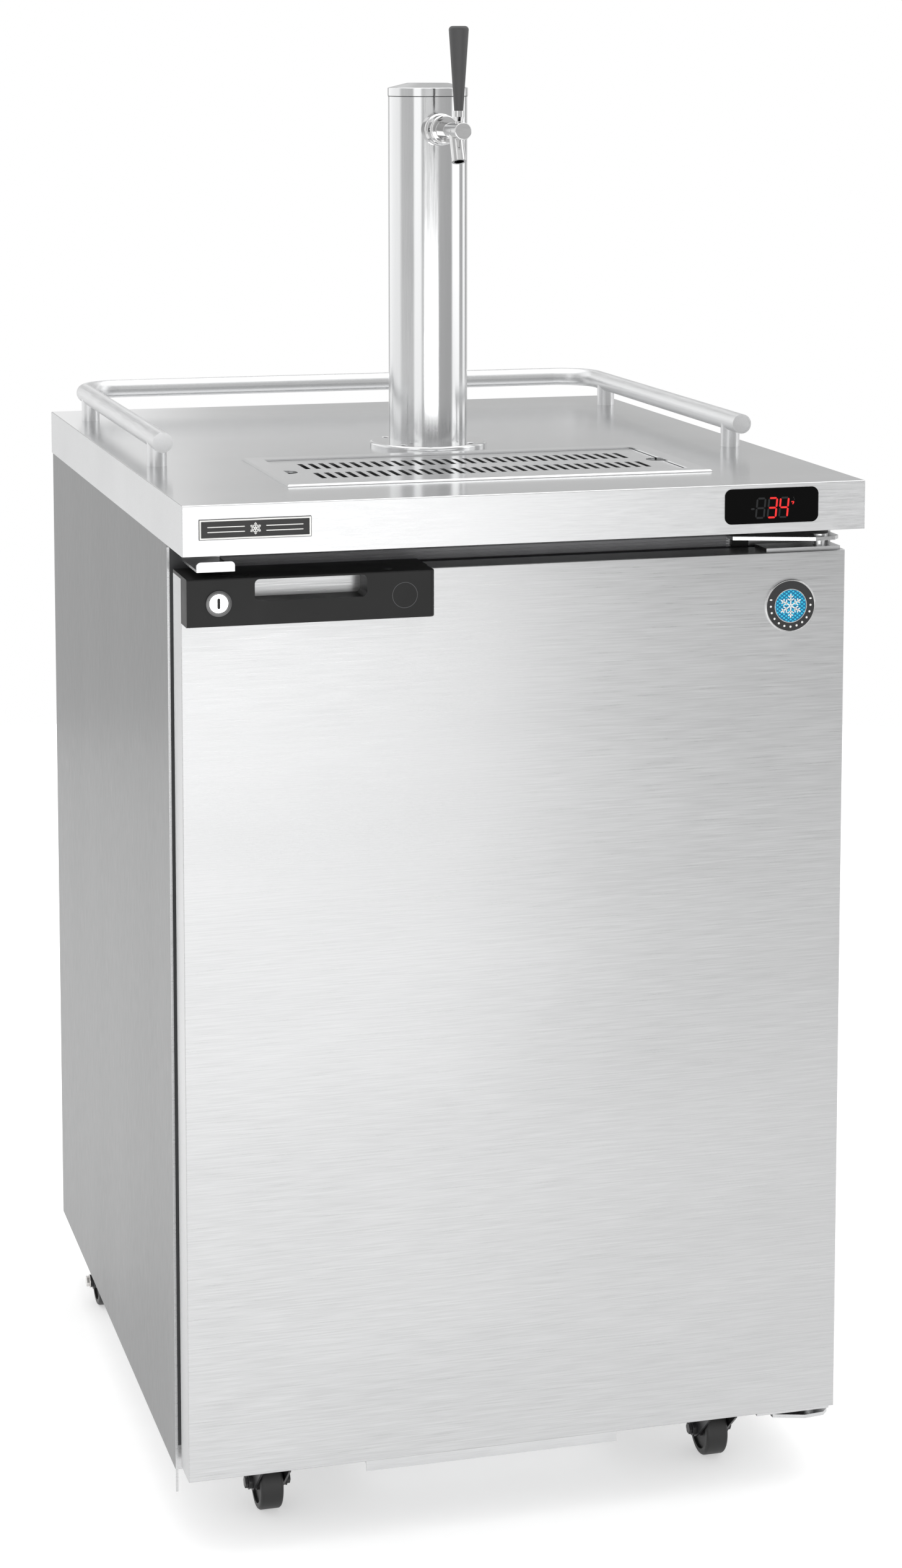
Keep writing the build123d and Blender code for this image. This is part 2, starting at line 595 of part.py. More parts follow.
# ---------------------------------------------------------------- drip tray
ledge_z = top + tray_lip - 1.5 - grate_t - seal_gap
with BuildPart() as drip_tray:
    with Locations((0, tray_y, top)):
        Box(tray_w, tray_d, tray_lip, align=(Align.CENTER, Align.CENTER, Align.MIN))
    chamfer(drip_tray.faces().sort_by(Axis.Z)[-1].edges(), tray_lip * 0.7)
    with Locations((0, tray_y, ledge_z - pan_sheet)):
        Box(well_cut_w, well_cut_d, top - ledge_z + pan_sheet, align=(Align.CENTER, Align.CENTER, Align.MIN))
    with Locations((0, tray_y, top - pan_depth)):
        Box(
            well_w - 2 * pan_ledge + 2 * pan_sheet,
            well_d - 2 * pan_ledge + 2 * pan_sheet,
            pan_depth - (top - ledge_z),
            align=(Align.CENTER, Align.CENTER, Align.MIN),
        )
    with Locations((0, tray_y, ledge_z)):
        Box(well_w, well_d, 20, align=(Align.CENTER, Align.CENTER, Align.MIN), mode=Mode.SUBTRACT)
    with Locations((0, tray_y, top - pan_depth + pan_sheet)):
        Box(
            well_w - 2 * pan_ledge,
            well_d - 2 * pan_ledge,
            40,
            align=(Align.CENTER, Align.CENTER, Align.MIN),
            mode=Mode.SUBTRACT,
        )
save(drip_tray, "drip_tray")

slot_count = round((grate_w - 2 * slot_margin) / slot_pitch)
with BuildPart() as drip_grate:
    with BuildSketch(Plane.XY.offset(ledge_z + seal_gap)):
        with Locations((0, tray_y)):
            RectangleRounded(grate_w, grate_d, 2)
            with GridLocations(slot_pitch, slot_row_gap, slot_count, 2):
                Rectangle(slot_w, slot_l, mode=Mode.SUBTRACT)
            with Locations((-grate_w / 2, -grate_notch_y), (grate_w / 2, -grate_notch_y)):
                Circle(grate_notch_r, mode=Mode.SUBTRACT)
    extrude(amount=grate_t)
save(drip_grate, "drip_grate")

# ---------------------------------------------------------------- hinge brackets and strike
strike_x0 = -door_x + strike_inset
strike_x1 = strike_x0 + strike_w
strike_z0 = lock_z + cam_reach - 2.3
with BuildPart() as strike_bracket:
    block((strike_x0, strike_x1), (front + 10, cab_front), (strike_z0, strike_z0 + strike_t))
    block((strike_x0, strike_x1), (cab_front - strike_t, cab_front), (strike_z0, top - 30))
    block((strike_x0, strike_x1), (front + 10, front + 10 + strike_t), (strike_z0, strike_z0 + strike_lip))
    tab_edges = strike_bracket.edges().filter_by(Axis.Y).group_by(Axis.Z)[-2]
    fillet(tab_edges, 3.5)
    block(
        (lock_x - cam_w / 2 - cam_room, strike_x1),
        (cam_y - cam_room, cam_y + cam_t + cam_room),
        (strike_z0, strike_z0 + strike_t),
        Mode.SUBTRACT,
    )
save(strike_bracket, "strike_bracket")

bracket_left, bracket_right = pin_x - 78.0, pin_x + 17.0
with BuildPart() as hinge_brackets:
    with BuildSketch(Plane.XY.offset(plate_z)):
        with BuildLine():
            Polyline(
                (bracket_left, cab_front),
                (bracket_left, pin_y + 10),
                (pin_x - 8, pin_y - 13),
                (bracket_right - 6, pin_y - 11),
                (bracket_right, pin_y - 4),
                (bracket_right, cab_front),
                (bracket_left, cab_front),
            )
        make_face()
    extrude(amount=hinge_plate_t)
    block(
        (bracket_left, bracket_right),
        (cab_front - 2.3, cab_front),
        (door_z1 + 0.6, plate_z),
    )
    post(pin_x, pin_y, (door_z1 - pin_reach, plate_z), pin_r)
    post(pin_x, pin_y, (plate_z + hinge_plate_t, plate_z + hinge_plate_t + 2), pin_r + 3)
    with BuildSketch(Plane.XY.offset(foot_z)):
        with BuildLine():
            Polyline(
                (pin_x - 36, cab_front + 40),
                (pin_x - 36, pin_y - 4),
                (pin_x - 8, pin_y - 13),
                (bracket_right - 6, pin_y - 11),
                (bracket_right, pin_y - 4),
                (bracket_right, cab_front + 40),
                (pin_x - 36, cab_front + 40),
            )
        make_face()
    extrude(amount=-hinge_plate_t)
    post(pin_x, pin_y, (foot_z, door_z0 + pin_reach), pin_r)
save(hinge_brackets, "hinge_brackets")

# ---------------------------------------------------------------- door
sleeve_r = pin_r + 3
lower_plate_t = door_z0 - foot_z - 3.2
with BuildPart() as door_skin:
    block((-door_x, door_x), (door_y0, door_y1), (door_z0, door_z1))
    fillet(door_skin.faces().sort_by(Axis.Y)[0].edges(), door_sheet * 0.9)
    block(
        (-door_x + door_sheet, door_x - door_sheet),
        (door_y0 + door_sheet, door_y1),
        (door_z0 + door_sheet, door_z1 - door_sheet),
        Mode.SUBTRACT,
    )
    post(pin_x, pin_y, (door_z0, door_z1), sleeve_r, Mode.SUBTRACT)
save(door_skin, "door_skin")

with BuildPart() as door_core:
    block(
        (-door_x + door_sheet, door_x - door_sheet),
        (door_y0 + door_sheet, door_y1 - door_liner_t),
        (door_z0 + door_sheet, door_z1 - door_sheet),
    )
    post(pin_x, pin_y, (door_z0, door_z0 + pin_reach + 3), sleeve_r, Mode.SUBTRACT)
    post(pin_x, pin_y, (door_z1 - pin_reach - 3, door_z1), sleeve_r, Mode.SUBTRACT)
save(door_core, "door_core")

plateau_inset, plateau_t = 75.0, 11.0
with BuildPart() as door_liner:
    block(
        (-door_x + door_sheet, door_x - door_sheet),
        (door_y1 - door_liner_t, door_y1),
        (door_z0 + door_sheet, door_z1 - door_sheet),
    )
    with BuildSketch(Plane.XZ.offset(-door_y1)):
        with Locations((0, (door_z0 + door_z1) / 2)):
            RectangleRounded(2 * (door_x - plateau_inset), door_z1 - door_z0 - 2 * plateau_inset, 18)
    extrude(amount=-plateau_t, taper=12)
save(door_liner, "door_liner")

gasket_x = door_x - gasket_edge
gasket_y1 = cab_front - seal_gap
gasket_z0, gasket_z1 = door_z0 + 14, door_z1 - 14
with BuildPart() as door_gasket:
    block((-gasket_x, gasket_x), (door_y1, gasket_y1), (gasket_z0, gasket_z1))
    block(
        (-gasket_x + gasket_w, gasket_x - gasket_w),
        (door_y1, gasket_y1),
        (gasket_z0 + gasket_w, gasket_z1 - gasket_w),
        Mode.SUBTRACT,
    )
save(door_gasket, "door_gasket")

with BuildPart() as door_hinge_plates:
    block((pin_x - 54, pin_x + 16), (door_y0 + 4, door_y1 - 2), (door_z1, door_z1 + hinge_plate_t))
    post(pin_x, pin_y, (door_z1 - pin_reach - 3, door_z1), sleeve_r)
    post(pin_x, pin_y, (door_z1 - pin_reach - 1, plate_z), pin_r + pin_clearance, Mode.SUBTRACT)
    block((pin_x - 54, pin_x + 16), (door_y0 + 4, door_y1 - 2), (door_z0 - lower_plate_t, door_z0))
    post(pin_x, pin_y, (door_z0, door_z0 + pin_reach + 3), sleeve_r)
    post(pin_x, pin_y, (foot_z, door_z0 + pin_reach + 1), pin_r + pin_clearance, Mode.SUBTRACT)
save(door_hinge_plates, "door_hinge_plates")

with BuildPart() as door_badge:
    rod_y(badge_x, (door_y0 - badge_t, door_y0), top - badge_drop, badge_r)
    fillet(door_badge.faces().sort_by(Axis.Y)[0].edges(), 1.2)
save(door_badge, "door_badge")

# ---------------------------------------------------------------- door handle and lock
window_z0, window_z1 = top - window_drop, handle_top - 2
window_y = handle_y0 + handle_proud / 2
cavity_x0, cavity_x1 = handle_x0 + handle_wall, window_x0 - 2
cavity_z0, cavity_z1 = handle_z0_door + handle_wall, handle_top - handle_cap
with BuildPart() as door_handle:
    block((handle_x0, handle_x1), (handle_y0, door_y0), (handle_z0_door, handle_top))
    fillet(door_handle.faces().sort_by(Axis.Y)[0].edges().filter_by(Axis.Z).sort_by(Axis.X)[-1], 4)
    fillet(door_handle.faces().sort_by(Axis.Y)[0].edges().filter_by(Axis.X), 1.5)
    block((handle_x0, handle_x1), (door_y0, door_y1), (door_z1, handle_top))
    with BuildSketch(Plane.XZ.offset(-window_y)):
        with Locations(((window_x0 + window_x1) / 2, (window_z0 + window_z1) / 2)):
            RectangleRounded(window_x1 - window_x0, window_z1 - window_z0, 4)
    extrude(amount=handle_proud, both=True, mode=Mode.SUBTRACT)
    block(
        (cavity_x0, cavity_x1), (handle_y0 + handle_wall, door_y0), (cavity_z0, cavity_z1), Mode.SUBTRACT
    )
    block(
        (window_x1 + handle_wall, handle_x1 - handle_wall - 2),
        (handle_y0 + handle_wall, door_y0),
        (cavity_z0, cavity_z1),
        Mode.SUBTRACT,
    )
    rod_y(lock_x, (handle_y0 - 1, handle_y0 + handle_wall + 1), lock_z, lock_barrel_r, Mode.SUBTRACT)
    block(
        (lock_x - cam_w / 2 - cam_room, cavity_x1),
        (cam_y - cam_room, cam_y + cam_t + cam_room),
        (cavity_z1, handle_top),
        Mode.SUBTRACT,
    )
save(door_handle, "door_handle")

with BuildPart() as lock_housing:
    rod_y(lock_x, (handle_y0 - 1, handle_y0), lock_z, lock_ring_r)
    rod_y(lock_x, (handle_y0, handle_y0 + 12.5), lock_z, lock_barrel_r)
    rod_y(lock_x, (handle_y0 - 1, handle_y0 + 12.5), lock_z, lock_plug_r + pin_clearance, Mode.SUBTRACT)
save(lock_housing, "lock_housing")

with BuildPart() as lock_plug:
    rod_y(lock_x, (handle_y0 - 0.8, cam_y + cam_t), lock_z, lock_plug_r)
    block(
        (lock_x - key_w / 2, lock_x + key_w / 2),
        (handle_y0 - 1, handle_y0 + 8),
        (lock_z - key_h / 2, lock_z + key_h / 2),
        Mode.SUBTRACT,
    )
    cam_tip = lock_x + cam_reach - cam_w / 2
    block((lock_x, cam_tip), (cam_y, cam_y + cam_t), (lock_z - cam_w / 2, lock_z + cam_w / 2))
    rod_y(cam_tip, (cam_y, cam_y + cam_t), lock_z, cam_w / 2)
save(lock_plug, "lock_plug")

# ---------------------------------------------------------------- pan under the base
pan_y, pan_z1 = front + pan_front, cabinet_z0 - pan_drop
pan_z0 = pan_z1 - pan_h
flange_z = pan_z1 - pan_flange_drop
tub_x = pan_w / 2 - 3
with BuildPart() as condensate_pan:
    block((-pan_w / 2, pan_w / 2), (pan_y, pan_y + pan_sheet), (pan_z0, pan_z1))
    block((-tub_x, tub_x), (pan_y + pan_sheet, pan_y + pan_d), (pan_z0 + 1, flange_z + pan_sheet))
    block(
        (-tub_x + pan_sheet, tub_x - pan_sheet),
        (pan_y + 4, pan_y + pan_d - pan_sheet),
        (pan_z0 + 1 + pan_sheet, pan_z1),
        Mode.SUBTRACT,
    )
    for side in (-1, 1):
        flange_x = sorted((side * tub_x, side * (pan_w / 2 + pan_flange)))
        block(flange_x, (pan_y + 4, pan_y + pan_d), (flange_z, flange_z + pan_sheet))
save(condensate_pan, "condensate_pan")

with BuildPart() as pan_runners:
    shelf = flange_z - runner_gap
    for side in (-1, 1):
        wall = side * (pan_w / 2 + pan_flange + runner_gap)
        along = (pan_y + 6, pan_y + pan_d)
        block(sorted((wall, wall + side * runner_t)), along, (shelf - runner_t, cabinet_z0))
        block(sorted((wall - side * pan_flange, wall)), along, (shelf - runner_t, shelf))
save(pan_runners, "pan_runners")

# ---------------------------------------------------------------- casters
caster_spots = {
    "front_left": (-half_w + caster_front_inset, front + caster_front_setback),
    "front_right": (half_w - caster_front_inset, front + caster_front_setback),
    "rear_left": (-half_w + caster_rear_inset, back - caster_rear_back),
    "rear_right": (half_w - caster_rear_inset, back - caster_rear_back),
}
top_plate_w, top_plate_d, top_plate_t = 50.0, 60.0, 3.0
race_z0 = cabinet_z0 - top_plate_t - 7.0
crown_t = 3.2
crown_z1 = race_z0 - 0.4
leg_t, leg_gap = 2.0, 1.5
leg_x = wheel_w / 2 + leg_gap
axle_y = caster_trail

with BuildPart() as caster_plates:
    for x, y in caster_spots.values():
        with Locations((x, y, cabinet_z0 - top_plate_t / 2)):
            Box(top_plate_w, top_plate_d, top_plate_t)
        post(x, y, (race_z0, cabinet_z0 - top_plate_t), race_r)
        post(x, y, (crown_z1 - crown_t - 2.6, race_z0), king_r)
        post(x, y, (crown_z1 - crown_t - 2.6, crown_z1 - crown_t - 0.6), king_r + 2.5)
save(caster_plates, "caster_plates")


def caster_fork(label, x, y):
    """Swivelling fork with its crown round the king pin and its axle riveted through the legs."""
    with BuildPart() as fork:
        block((x - leg_x - leg_t, x + leg_x + leg_t), (y - 15, y + 15), (crown_z1 - crown_t, crown_z1))
        for side in (-1, 1):
            inner_face = Plane.YZ.offset(x + (leg_x if side > 0 else -leg_x - leg_t))
            with BuildSketch(inner_face):
                with BuildLine():
                    Polyline(
                        (y - 15, crown_z1),
                        (y - 15, crown_z1 - 8),
                        (y + axle_y - 9, wheel_z - 3),
                        (y + axle_y, wheel_z - 9),
                        (y + axle_y + 9, wheel_z - 3),
                        (y + axle_y + 9, wheel_z + 6),
                        (y + 15, crown_z1),
                        (y - 15, crown_z1),
                    )
                make_face()
            extrude(amount=leg_t)
        rod_x((x - leg_x - leg_t - 3, x + leg_x + leg_t + 3), y + axle_y, wheel_z, axle_r)
        for side in (-1, 1):
            nut = sorted((side * (leg_x + leg_t), side * (leg_x + leg_t + 3)))
            rod_x((x + nut[0], x + nut[1]), y + axle_y, wheel_z, axle_r + 2.5)
        post(x, y, (crown_z1 - 20, crown_z1 + 5), king_r + wheel_bore_clearance, Mode.SUBTRACT)
    save(fork, label)


def caster_wheel(label, x, y):
    """Moulded wheel with a rounded tread and a dished face on each side."""
    with BuildPart() as wheel:
        rod_x((x - wheel_w / 2, x + wheel_w / 2), y + axle_y, wheel_z, wheel_r)
        fillet(wheel.edges().filter_by(GeomType.CIRCLE), 3)
        for side in (-1, 1):
            dish = sorted((x + side * (wheel_w / 2 - 2.5), x + side * wheel_w / 2))
            rod_x(dish, y + axle_y, wheel_z, wheel_r - 6, Mode.SUBTRACT)
            rod_x(dish, y + axle_y, wheel_z, axle_r + 4)
        bore = axle_r + wheel_bore_clearance
        rod_x((x - wheel_w, x + wheel_w), y + axle_y, wheel_z, bore, Mode.SUBTRACT)
    save(wheel, label)


for spot, (x, y) in caster_spots.items():
    caster_fork(f"caster_fork_{spot}", x, y)
    caster_wheel(f"caster_wheel_{spot}", x, y)
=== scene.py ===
"""Looks of the kegerator: materials, detail pieces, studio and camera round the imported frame.

Metres, in the frame's own axes: the door faces -Y, +X is to the right of someone facing it, +Z is up.
"""

import math

import bmesh
import bpy
from mathutils import Matrix, Vector


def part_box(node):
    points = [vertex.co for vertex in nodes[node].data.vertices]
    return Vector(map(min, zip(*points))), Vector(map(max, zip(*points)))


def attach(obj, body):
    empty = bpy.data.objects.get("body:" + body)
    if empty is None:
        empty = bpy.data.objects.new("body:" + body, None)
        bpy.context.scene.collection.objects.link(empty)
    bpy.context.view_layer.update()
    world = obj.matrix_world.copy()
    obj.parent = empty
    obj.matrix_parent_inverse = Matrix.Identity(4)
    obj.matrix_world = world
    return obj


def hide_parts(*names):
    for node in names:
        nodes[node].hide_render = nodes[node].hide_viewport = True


MM = 0.001
STREAK_DEPTH = 0.00002  # metres, of the brush marks in steel sheet
STEEL_COOL = -0.006  # share by which bare steel is cooler than gray
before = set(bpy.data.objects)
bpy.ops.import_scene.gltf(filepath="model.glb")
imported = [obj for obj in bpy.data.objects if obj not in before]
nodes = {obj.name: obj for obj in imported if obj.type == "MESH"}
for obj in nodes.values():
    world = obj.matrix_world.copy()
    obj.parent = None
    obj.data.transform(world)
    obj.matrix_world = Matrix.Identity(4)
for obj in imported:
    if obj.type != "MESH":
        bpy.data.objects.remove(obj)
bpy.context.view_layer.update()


def box(node):
    """Lowest and highest corner of a CAD node."""
    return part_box(node)


def middle(node):
    """Centre of a CAD node's box."""
    low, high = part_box(node)
    return (low + high) / 2


# ---------------------------------------------------------------- node helpers
class Graph:
    """A material's node tree with short ways to add and join nodes."""

    def __init__(self, name):
        self.material = bpy.data.materials.new(name)
        self.material.use_nodes = True
        self.tree = self.material.node_tree
        self.shader = self.tree.nodes["Principled BSDF"]
        self.place = self.add("ShaderNodeTexCoord").outputs["Object"]

    def add(self, kind, **settings):
        node = self.tree.nodes.new(kind)
        for key, value in settings.items():
            setattr(node, key, value)
        return node

    def join(self, source, target):
        self.tree.links.new(source, target)

    def stretch(self, scale, turn=(0, 0, 0)):
        """Object coordinates times a scale on each axis."""
        mapping = self.add("ShaderNodeMapping")
        mapping.inputs["Scale"].default_value = scale
        mapping.inputs["Rotation"].default_value = turn
        self.join(self.place, mapping.inputs["Vector"])
        return mapping.outputs["Vector"]

    def noise(self, scale, detail=4.0, rough=0.55, vector=None):
        """Noise with that many features to a metre on each axis."""
        texture = self.add("ShaderNodeTexNoise")
        texture.inputs["Scale"].default_value = 1.0
        texture.inputs["Detail"].default_value = detail
        texture.inputs["Roughness"].default_value = rough
        self.join(vector or self.stretch(scale), texture.inputs["Vector"])
        return texture.outputs["Fac"]

    def spread(self, value, low, high, from_low=0.3, from_high=0.7):
        """Noise remapped to a useful range."""
        ranged = self.add("ShaderNodeMapRange")
        self.join(value, ranged.inputs["Value"])
        ranged.inputs["From Min"].default_value = from_low
        ranged.inputs["From Max"].default_value = from_high
        ranged.inputs["To Min"].default_value = low
        ranged.inputs["To Max"].default_value = high
        return ranged.outputs["Result"]

    def math(self, operation, a, b):
        node = self.add("ShaderNodeMath", operation=operation)
        for socket, value in zip(node.inputs, (a, b)):
            if isinstance(value, (int, float)):
                socket.default_value = value
            else:
                self.join(value, socket)
        return node.outputs[0]

    def tint(self, color, amount):
        """A colour scaled by a changing amount."""
        scaled = self.add("ShaderNodeVectorMath", operation="SCALE")
        scaled.inputs[0].default_value = color
        self.join(amount, scaled.inputs["Scale"])
        return scaled.outputs["Vector"]

    def mix(self, fac, first, second):
        node = self.add("ShaderNodeMix", data_type="RGBA")
        for socket, value in ((node.inputs[0], fac), (node.inputs[6], first), (node.inputs[7], second)):
            if isinstance(value, (int, float)):
                socket.default_value = value
            elif isinstance(value, tuple):
                socket.default_value = (*value, 1.0)
            else:
                self.join(value, socket)
        return node.outputs[2]

    def bump(self, height, distance, strength=1.0):
        node = self.add("ShaderNodeBump")
        node.inputs["Strength"].default_value = strength
        node.inputs["Distance"].default_value = distance
        self.join(height, node.inputs["Height"])
        self.join(node.outputs["Normal"], self.shader.inputs["Normal"])

    def stretch_glints(self, axis):
        """Lays the long way of an anisotropic shader's highlights along an axis of the piece."""
        direction = self.add("ShaderNodeCombineXYZ")
        direction.inputs[axis].default_value = 1.0
        turn = self.add("ShaderNodeVectorTransform", vector_type="VECTOR")
        turn.convert_from, turn.convert_to = "OBJECT", "WORLD"
        self.join(direction.outputs[0], turn.inputs[0])
        self.join(turn.outputs[0], self.shader.inputs["Tangent"])


def gray(value, warm=0.0):
    """A gray, a little warmer or, with a negative share, cooler."""
    return (value * (1 + warm), value, value * (1 - warm))


def brushed(
    name, tone, grain, glints, rough,
    anisotropic=0.6, contrast=0.05, cloud=0.04, length=28.0, fine=850.0, relief=0.3,
):
    """Brushed sheet: streaks along one axis, faint clouds, and highlights drawn out along another.

    length and fine are the streaks' features to a metre, along the grain and across it.
    """
    g = Graph(name)
    scale = [fine, fine, fine]
    axis = "XYZ".index(grain)
    scale[axis] = length
    streaks = g.noise(tuple(scale), 3.0, 0.6)
    broad = [9.0, 9.0, 9.0]
    broad[axis] = 2.5
    clouds = g.noise(tuple(broad), 3.0, 0.5)
    streak_tone = g.spread(streaks, 1 - contrast, 1 + contrast)
    cloud_tone = g.spread(clouds, 1 - cloud, 1 + cloud * 0.6)
    uneven = g.math("MULTIPLY", streak_tone, cloud_tone)
    g.join(g.tint(gray(tone, STEEL_COOL), uneven), g.shader.inputs["Base Color"])
    g.join(g.spread(streaks, rough * 0.82, rough * 1.2), g.shader.inputs["Roughness"])
    g.shader.inputs["Metallic"].default_value = 1.0
    g.shader.inputs["Anisotropic"].default_value = anisotropic
    g.stretch_glints("XYZ".index(glints))
    g.bump(streaks, STREAK_DEPTH, relief)
    return g.material


def counter_sheet(name, flat, upright):
    """Sheet brushed left to right; flat and upright are the (tone, roughness) of its top and edges."""
    g = Graph(name)
    streaks = g.noise((45.0, 800.0, 800.0), 3.0, 0.6)
    clouds = g.noise((2.5, 9.0, 9.0), 3.0, 0.5)
    faces = g.add("ShaderNodeSeparateXYZ")
    g.join(g.add("ShaderNodeTexCoord").outputs["Normal"], faces.inputs[0])
    level = g.math("ABSOLUTE", faces.outputs["Z"], 0.0)
    tone = g.spread(level, upright[0], flat[0], 0.0, 1.0)
    rough = g.spread(level, upright[1], flat[1], 0.0, 1.0)
    uneven = g.math("MULTIPLY", g.spread(streaks, 0.93, 1.07), g.spread(clouds, 0.96, 1.02))
    g.join(g.tint(gray(1.0, STEEL_COOL), g.math("MULTIPLY", tone, uneven)), g.shader.inputs["Base Color"])
    g.join(g.math("MULTIPLY", rough, g.spread(streaks, 0.85, 1.15)), g.shader.inputs["Roughness"])
    g.shader.inputs["Metallic"].default_value = 1.0
    g.shader.inputs["Anisotropic"].default_value = 0.5
    across = g.add("ShaderNodeCombineXYZ")
    g.join(level, across.inputs["Y"])
    g.join(g.math("SUBTRACT", 1.0, level), across.inputs["Z"])
    g.join(across.outputs[0], g.shader.inputs["Tangent"])
    g.bump(streaks, STREAK_DEPTH, 0.35)
    return g.material


def polished(name, tone, rough, warm=0.0, scratch=0.04):
    """Turned or plated metal with faint wipe marks."""
    g = Graph(name)
    marks = g.noise((60.0, 60.0, 240.0), 4.0, 0.6)
    g.join(g.tint(gray(tone, warm), g.spread(marks, 1 - scratch, 1 + scratch)), g.shader.inputs["Base Color"])
    g.join(g.spread(marks, rough * 0.7, rough * 1.3), g.shader.inputs["Roughness"])
    g.shader.inputs["Metallic"].default_value = 1.0
    g.bump(marks, 0.00001, 0.2)
    return g.material


def moulded(name, color, rough, grain=2600.0, depth=0.00004, wear=0.08, specular=0.5):
    """Moulded plastic or rubber with a fine leathery grain."""
    g = Graph(name)
    pores = g.noise((grain, grain, grain), 3.0, 0.6)
    patches = g.noise((22.0, 22.0, 22.0), 3.0, 0.55)
    g.join(g.tint(color, g.spread(patches, 1 - wear, 1 + wear)), g.shader.inputs["Base Color"])
    g.join(g.spread(patches, rough * 0.88, rough * 1.12), g.shader.inputs["Roughness"])
    g.shader.inputs["Specular IOR Level"].default_value = specular
    g.bump(pores, depth, 0.4)
    return g.material


def coated(name, color, rough, speck=1500.0, depth=0.00003, specular=0.5):
    """Sprayed paint or enamel with a slight orange peel."""
    g = Graph(name)
    peel = g.noise((speck, speck, speck), 2.0, 0.5)
    dust = g.noise((14.0, 14.0, 14.0), 4.0, 0.6)
    g.join(g.tint(color, g.spread(dust, 0.92, 1.06)), g.shader.inputs["Base Color"])
    g.join(g.spread(dust, rough * 0.85, rough * 1.15), g.shader.inputs["Roughness"])
    g.shader.inputs["Specular IOR Level"].default_value = specular
    g.bump(peel, depth, 0.3)
    return g.material


def foam(name, color):
    """Cut polyurethane foam with open cells."""
    g = Graph(name)
    cells = g.add("ShaderNodeTexVoronoi", feature="F1")
    cells.inputs["Scale"].default_value = 420.0
    g.join(g.place, cells.inputs["Vector"])
    depth = cells.outputs["Distance"]
    g.join(g.tint(color, g.spread(depth, 0.82, 1.06, 0.1, 0.9)), g.shader.inputs["Base Color"])
    g.shader.inputs["Roughness"].default_value = 0.9
    g.bump(depth, 0.0004, 0.6)
    return g.material


def embossed(name, tone, rough):
    """Aluminium sheet with a rolled pebble pattern."""
    g = Graph(name)
    pebbles = g.add("ShaderNodeTexVoronoi", feature="SMOOTH_F1")
    pebbles.inputs["Scale"].default_value = 190.0
    warp = g.noise((45.0, 45.0, 45.0), 2.0, 0.5)
    shifted = g.add("ShaderNodeVectorMath", operation="ADD")
    g.join(g.place, shifted.inputs[0])
    g.join(g.tint((0.004, 0.004, 0.004), warp), shifted.inputs[1])
    g.join(shifted.outputs["Vector"], pebbles.inputs["Vector"])
    g.join(g.tint(gray(tone), g.spread(warp, 0.95, 1.03)), g.shader.inputs["Base Color"])
    g.join(g.spread(warp, rough * 0.9, rough * 1.1), g.shader.inputs["Roughness"])
    g.shader.inputs["Metallic"].default_value = 1.0
    g.bump(pebbles.outputs["Distance"], 0.0012, 0.55)
    return g.material


def glowing(name, color, power):
    """Lit segment of a display, a little uneven like a real lamp behind it."""
    g = Graph(name)
    glow = g.noise((300.0, 300.0, 300.0), 2.0, 0.5)
    g.join(g.tint(color, g.spread(glow, 0.85, 1.05)), g.shader.inputs["Emission Color"])
    g.shader.inputs["Emission Strength"].default_value = power
    g.shader.inputs["Base Color"].default_value = (0.05, 0.0, 0.0, 1)
    g.shader.inputs["Roughness"].default_value = 0.4
    return g.material


def tiled(name, first, second):
    """Enamel over a pressed pattern of small diamonds."""
    g = Graph(name)
    across, up = g.add("ShaderNodeTexWave"), g.add("ShaderNodeTexWave")
    for wave, turn in ((across, 0.9), (up, -0.9)):
        wave.inputs["Scale"].default_value = 120.0
        g.join(g.stretch((1, 1, 1), (0, turn, 0)), wave.inputs["Vector"])
    cells = g.math("MULTIPLY", across.outputs["Fac"], up.outputs["Fac"])
    g.join(g.mix(g.spread(cells, 0.0, 1.0, 0.05, 0.6), first, second), g.shader.inputs["Base Color"])
    g.shader.inputs["Roughness"].default_value = 0.2
    g.bump(cells, 0.0002, 0.3)
    return g.material


# ---------------------------------------------------------------- materials
steel_counter = counter_sheet("counter_steel", (0.66, 0.17), (0.66, 0.38))
steel_door = brushed(
    "door_steel", 0.54, "X", "Z", 0.33,
    anisotropic=0.8, contrast=0.10, length=20.0, fine=820.0, relief=0.1,
)
steel_side = brushed("side_steel", 0.235, "Z", "Y", 0.34, anisotropic=0.6, contrast=0.08, length=55.0)
steel_base = brushed("base_steel", 0.56, "X", "Z", 0.30, anisotropic=0.3)
steel_tray = brushed("tray_steel", 0.74, "X", "Y", 0.20, anisotropic=0.4, contrast=0.03)
# Near-black steel for the sheet inside the drip tray's well: painted shade, not the tray's own finish.
well_painted_shade = brushed("well_painted_shade", 0.10, "X", "Y", 0.45, anisotropic=0.3)
steel_pan = brushed("pan_steel", 0.74, "X", "Z", 0.34, anisotropic=0.4)
steel_floor = brushed("floor_steel", 0.60, "X", "Y", 0.34)
liner_metal = embossed("liner_aluminium", 0.74, 0.32)
tower_metal = brushed("tower_metal", 0.66, "Z", "Z", 0.14, anisotropic=0.6, contrast=0.02)
rail_metal = brushed("rail_metal", 0.68, "Y", "Y", 0.36, anisotropic=0.0, contrast=0.03)
chrome = polished("tap_chrome", 0.60, 0.08)
screw_metal = polished("screw_steel", 0.7, 0.22)
lock_metal = polished("lock_metal", 0.14, 0.35)
zinc = polished("caster_zinc", 0.72, 0.26, warm=0.02, scratch=0.12)
coil_metal = polished("coil_metal", 0.72, 0.3, scratch=0.1)
black_plastic = moulded("black_plastic", (0.010, 0.010, 0.010), 0.45, specular=0.25)
strip_plastic = moulded("strip_plastic", (0.045, 0.046, 0.048), 0.4)
seal_grey = moulded("seal_grey", (0.34, 0.34, 0.35), 0.35)
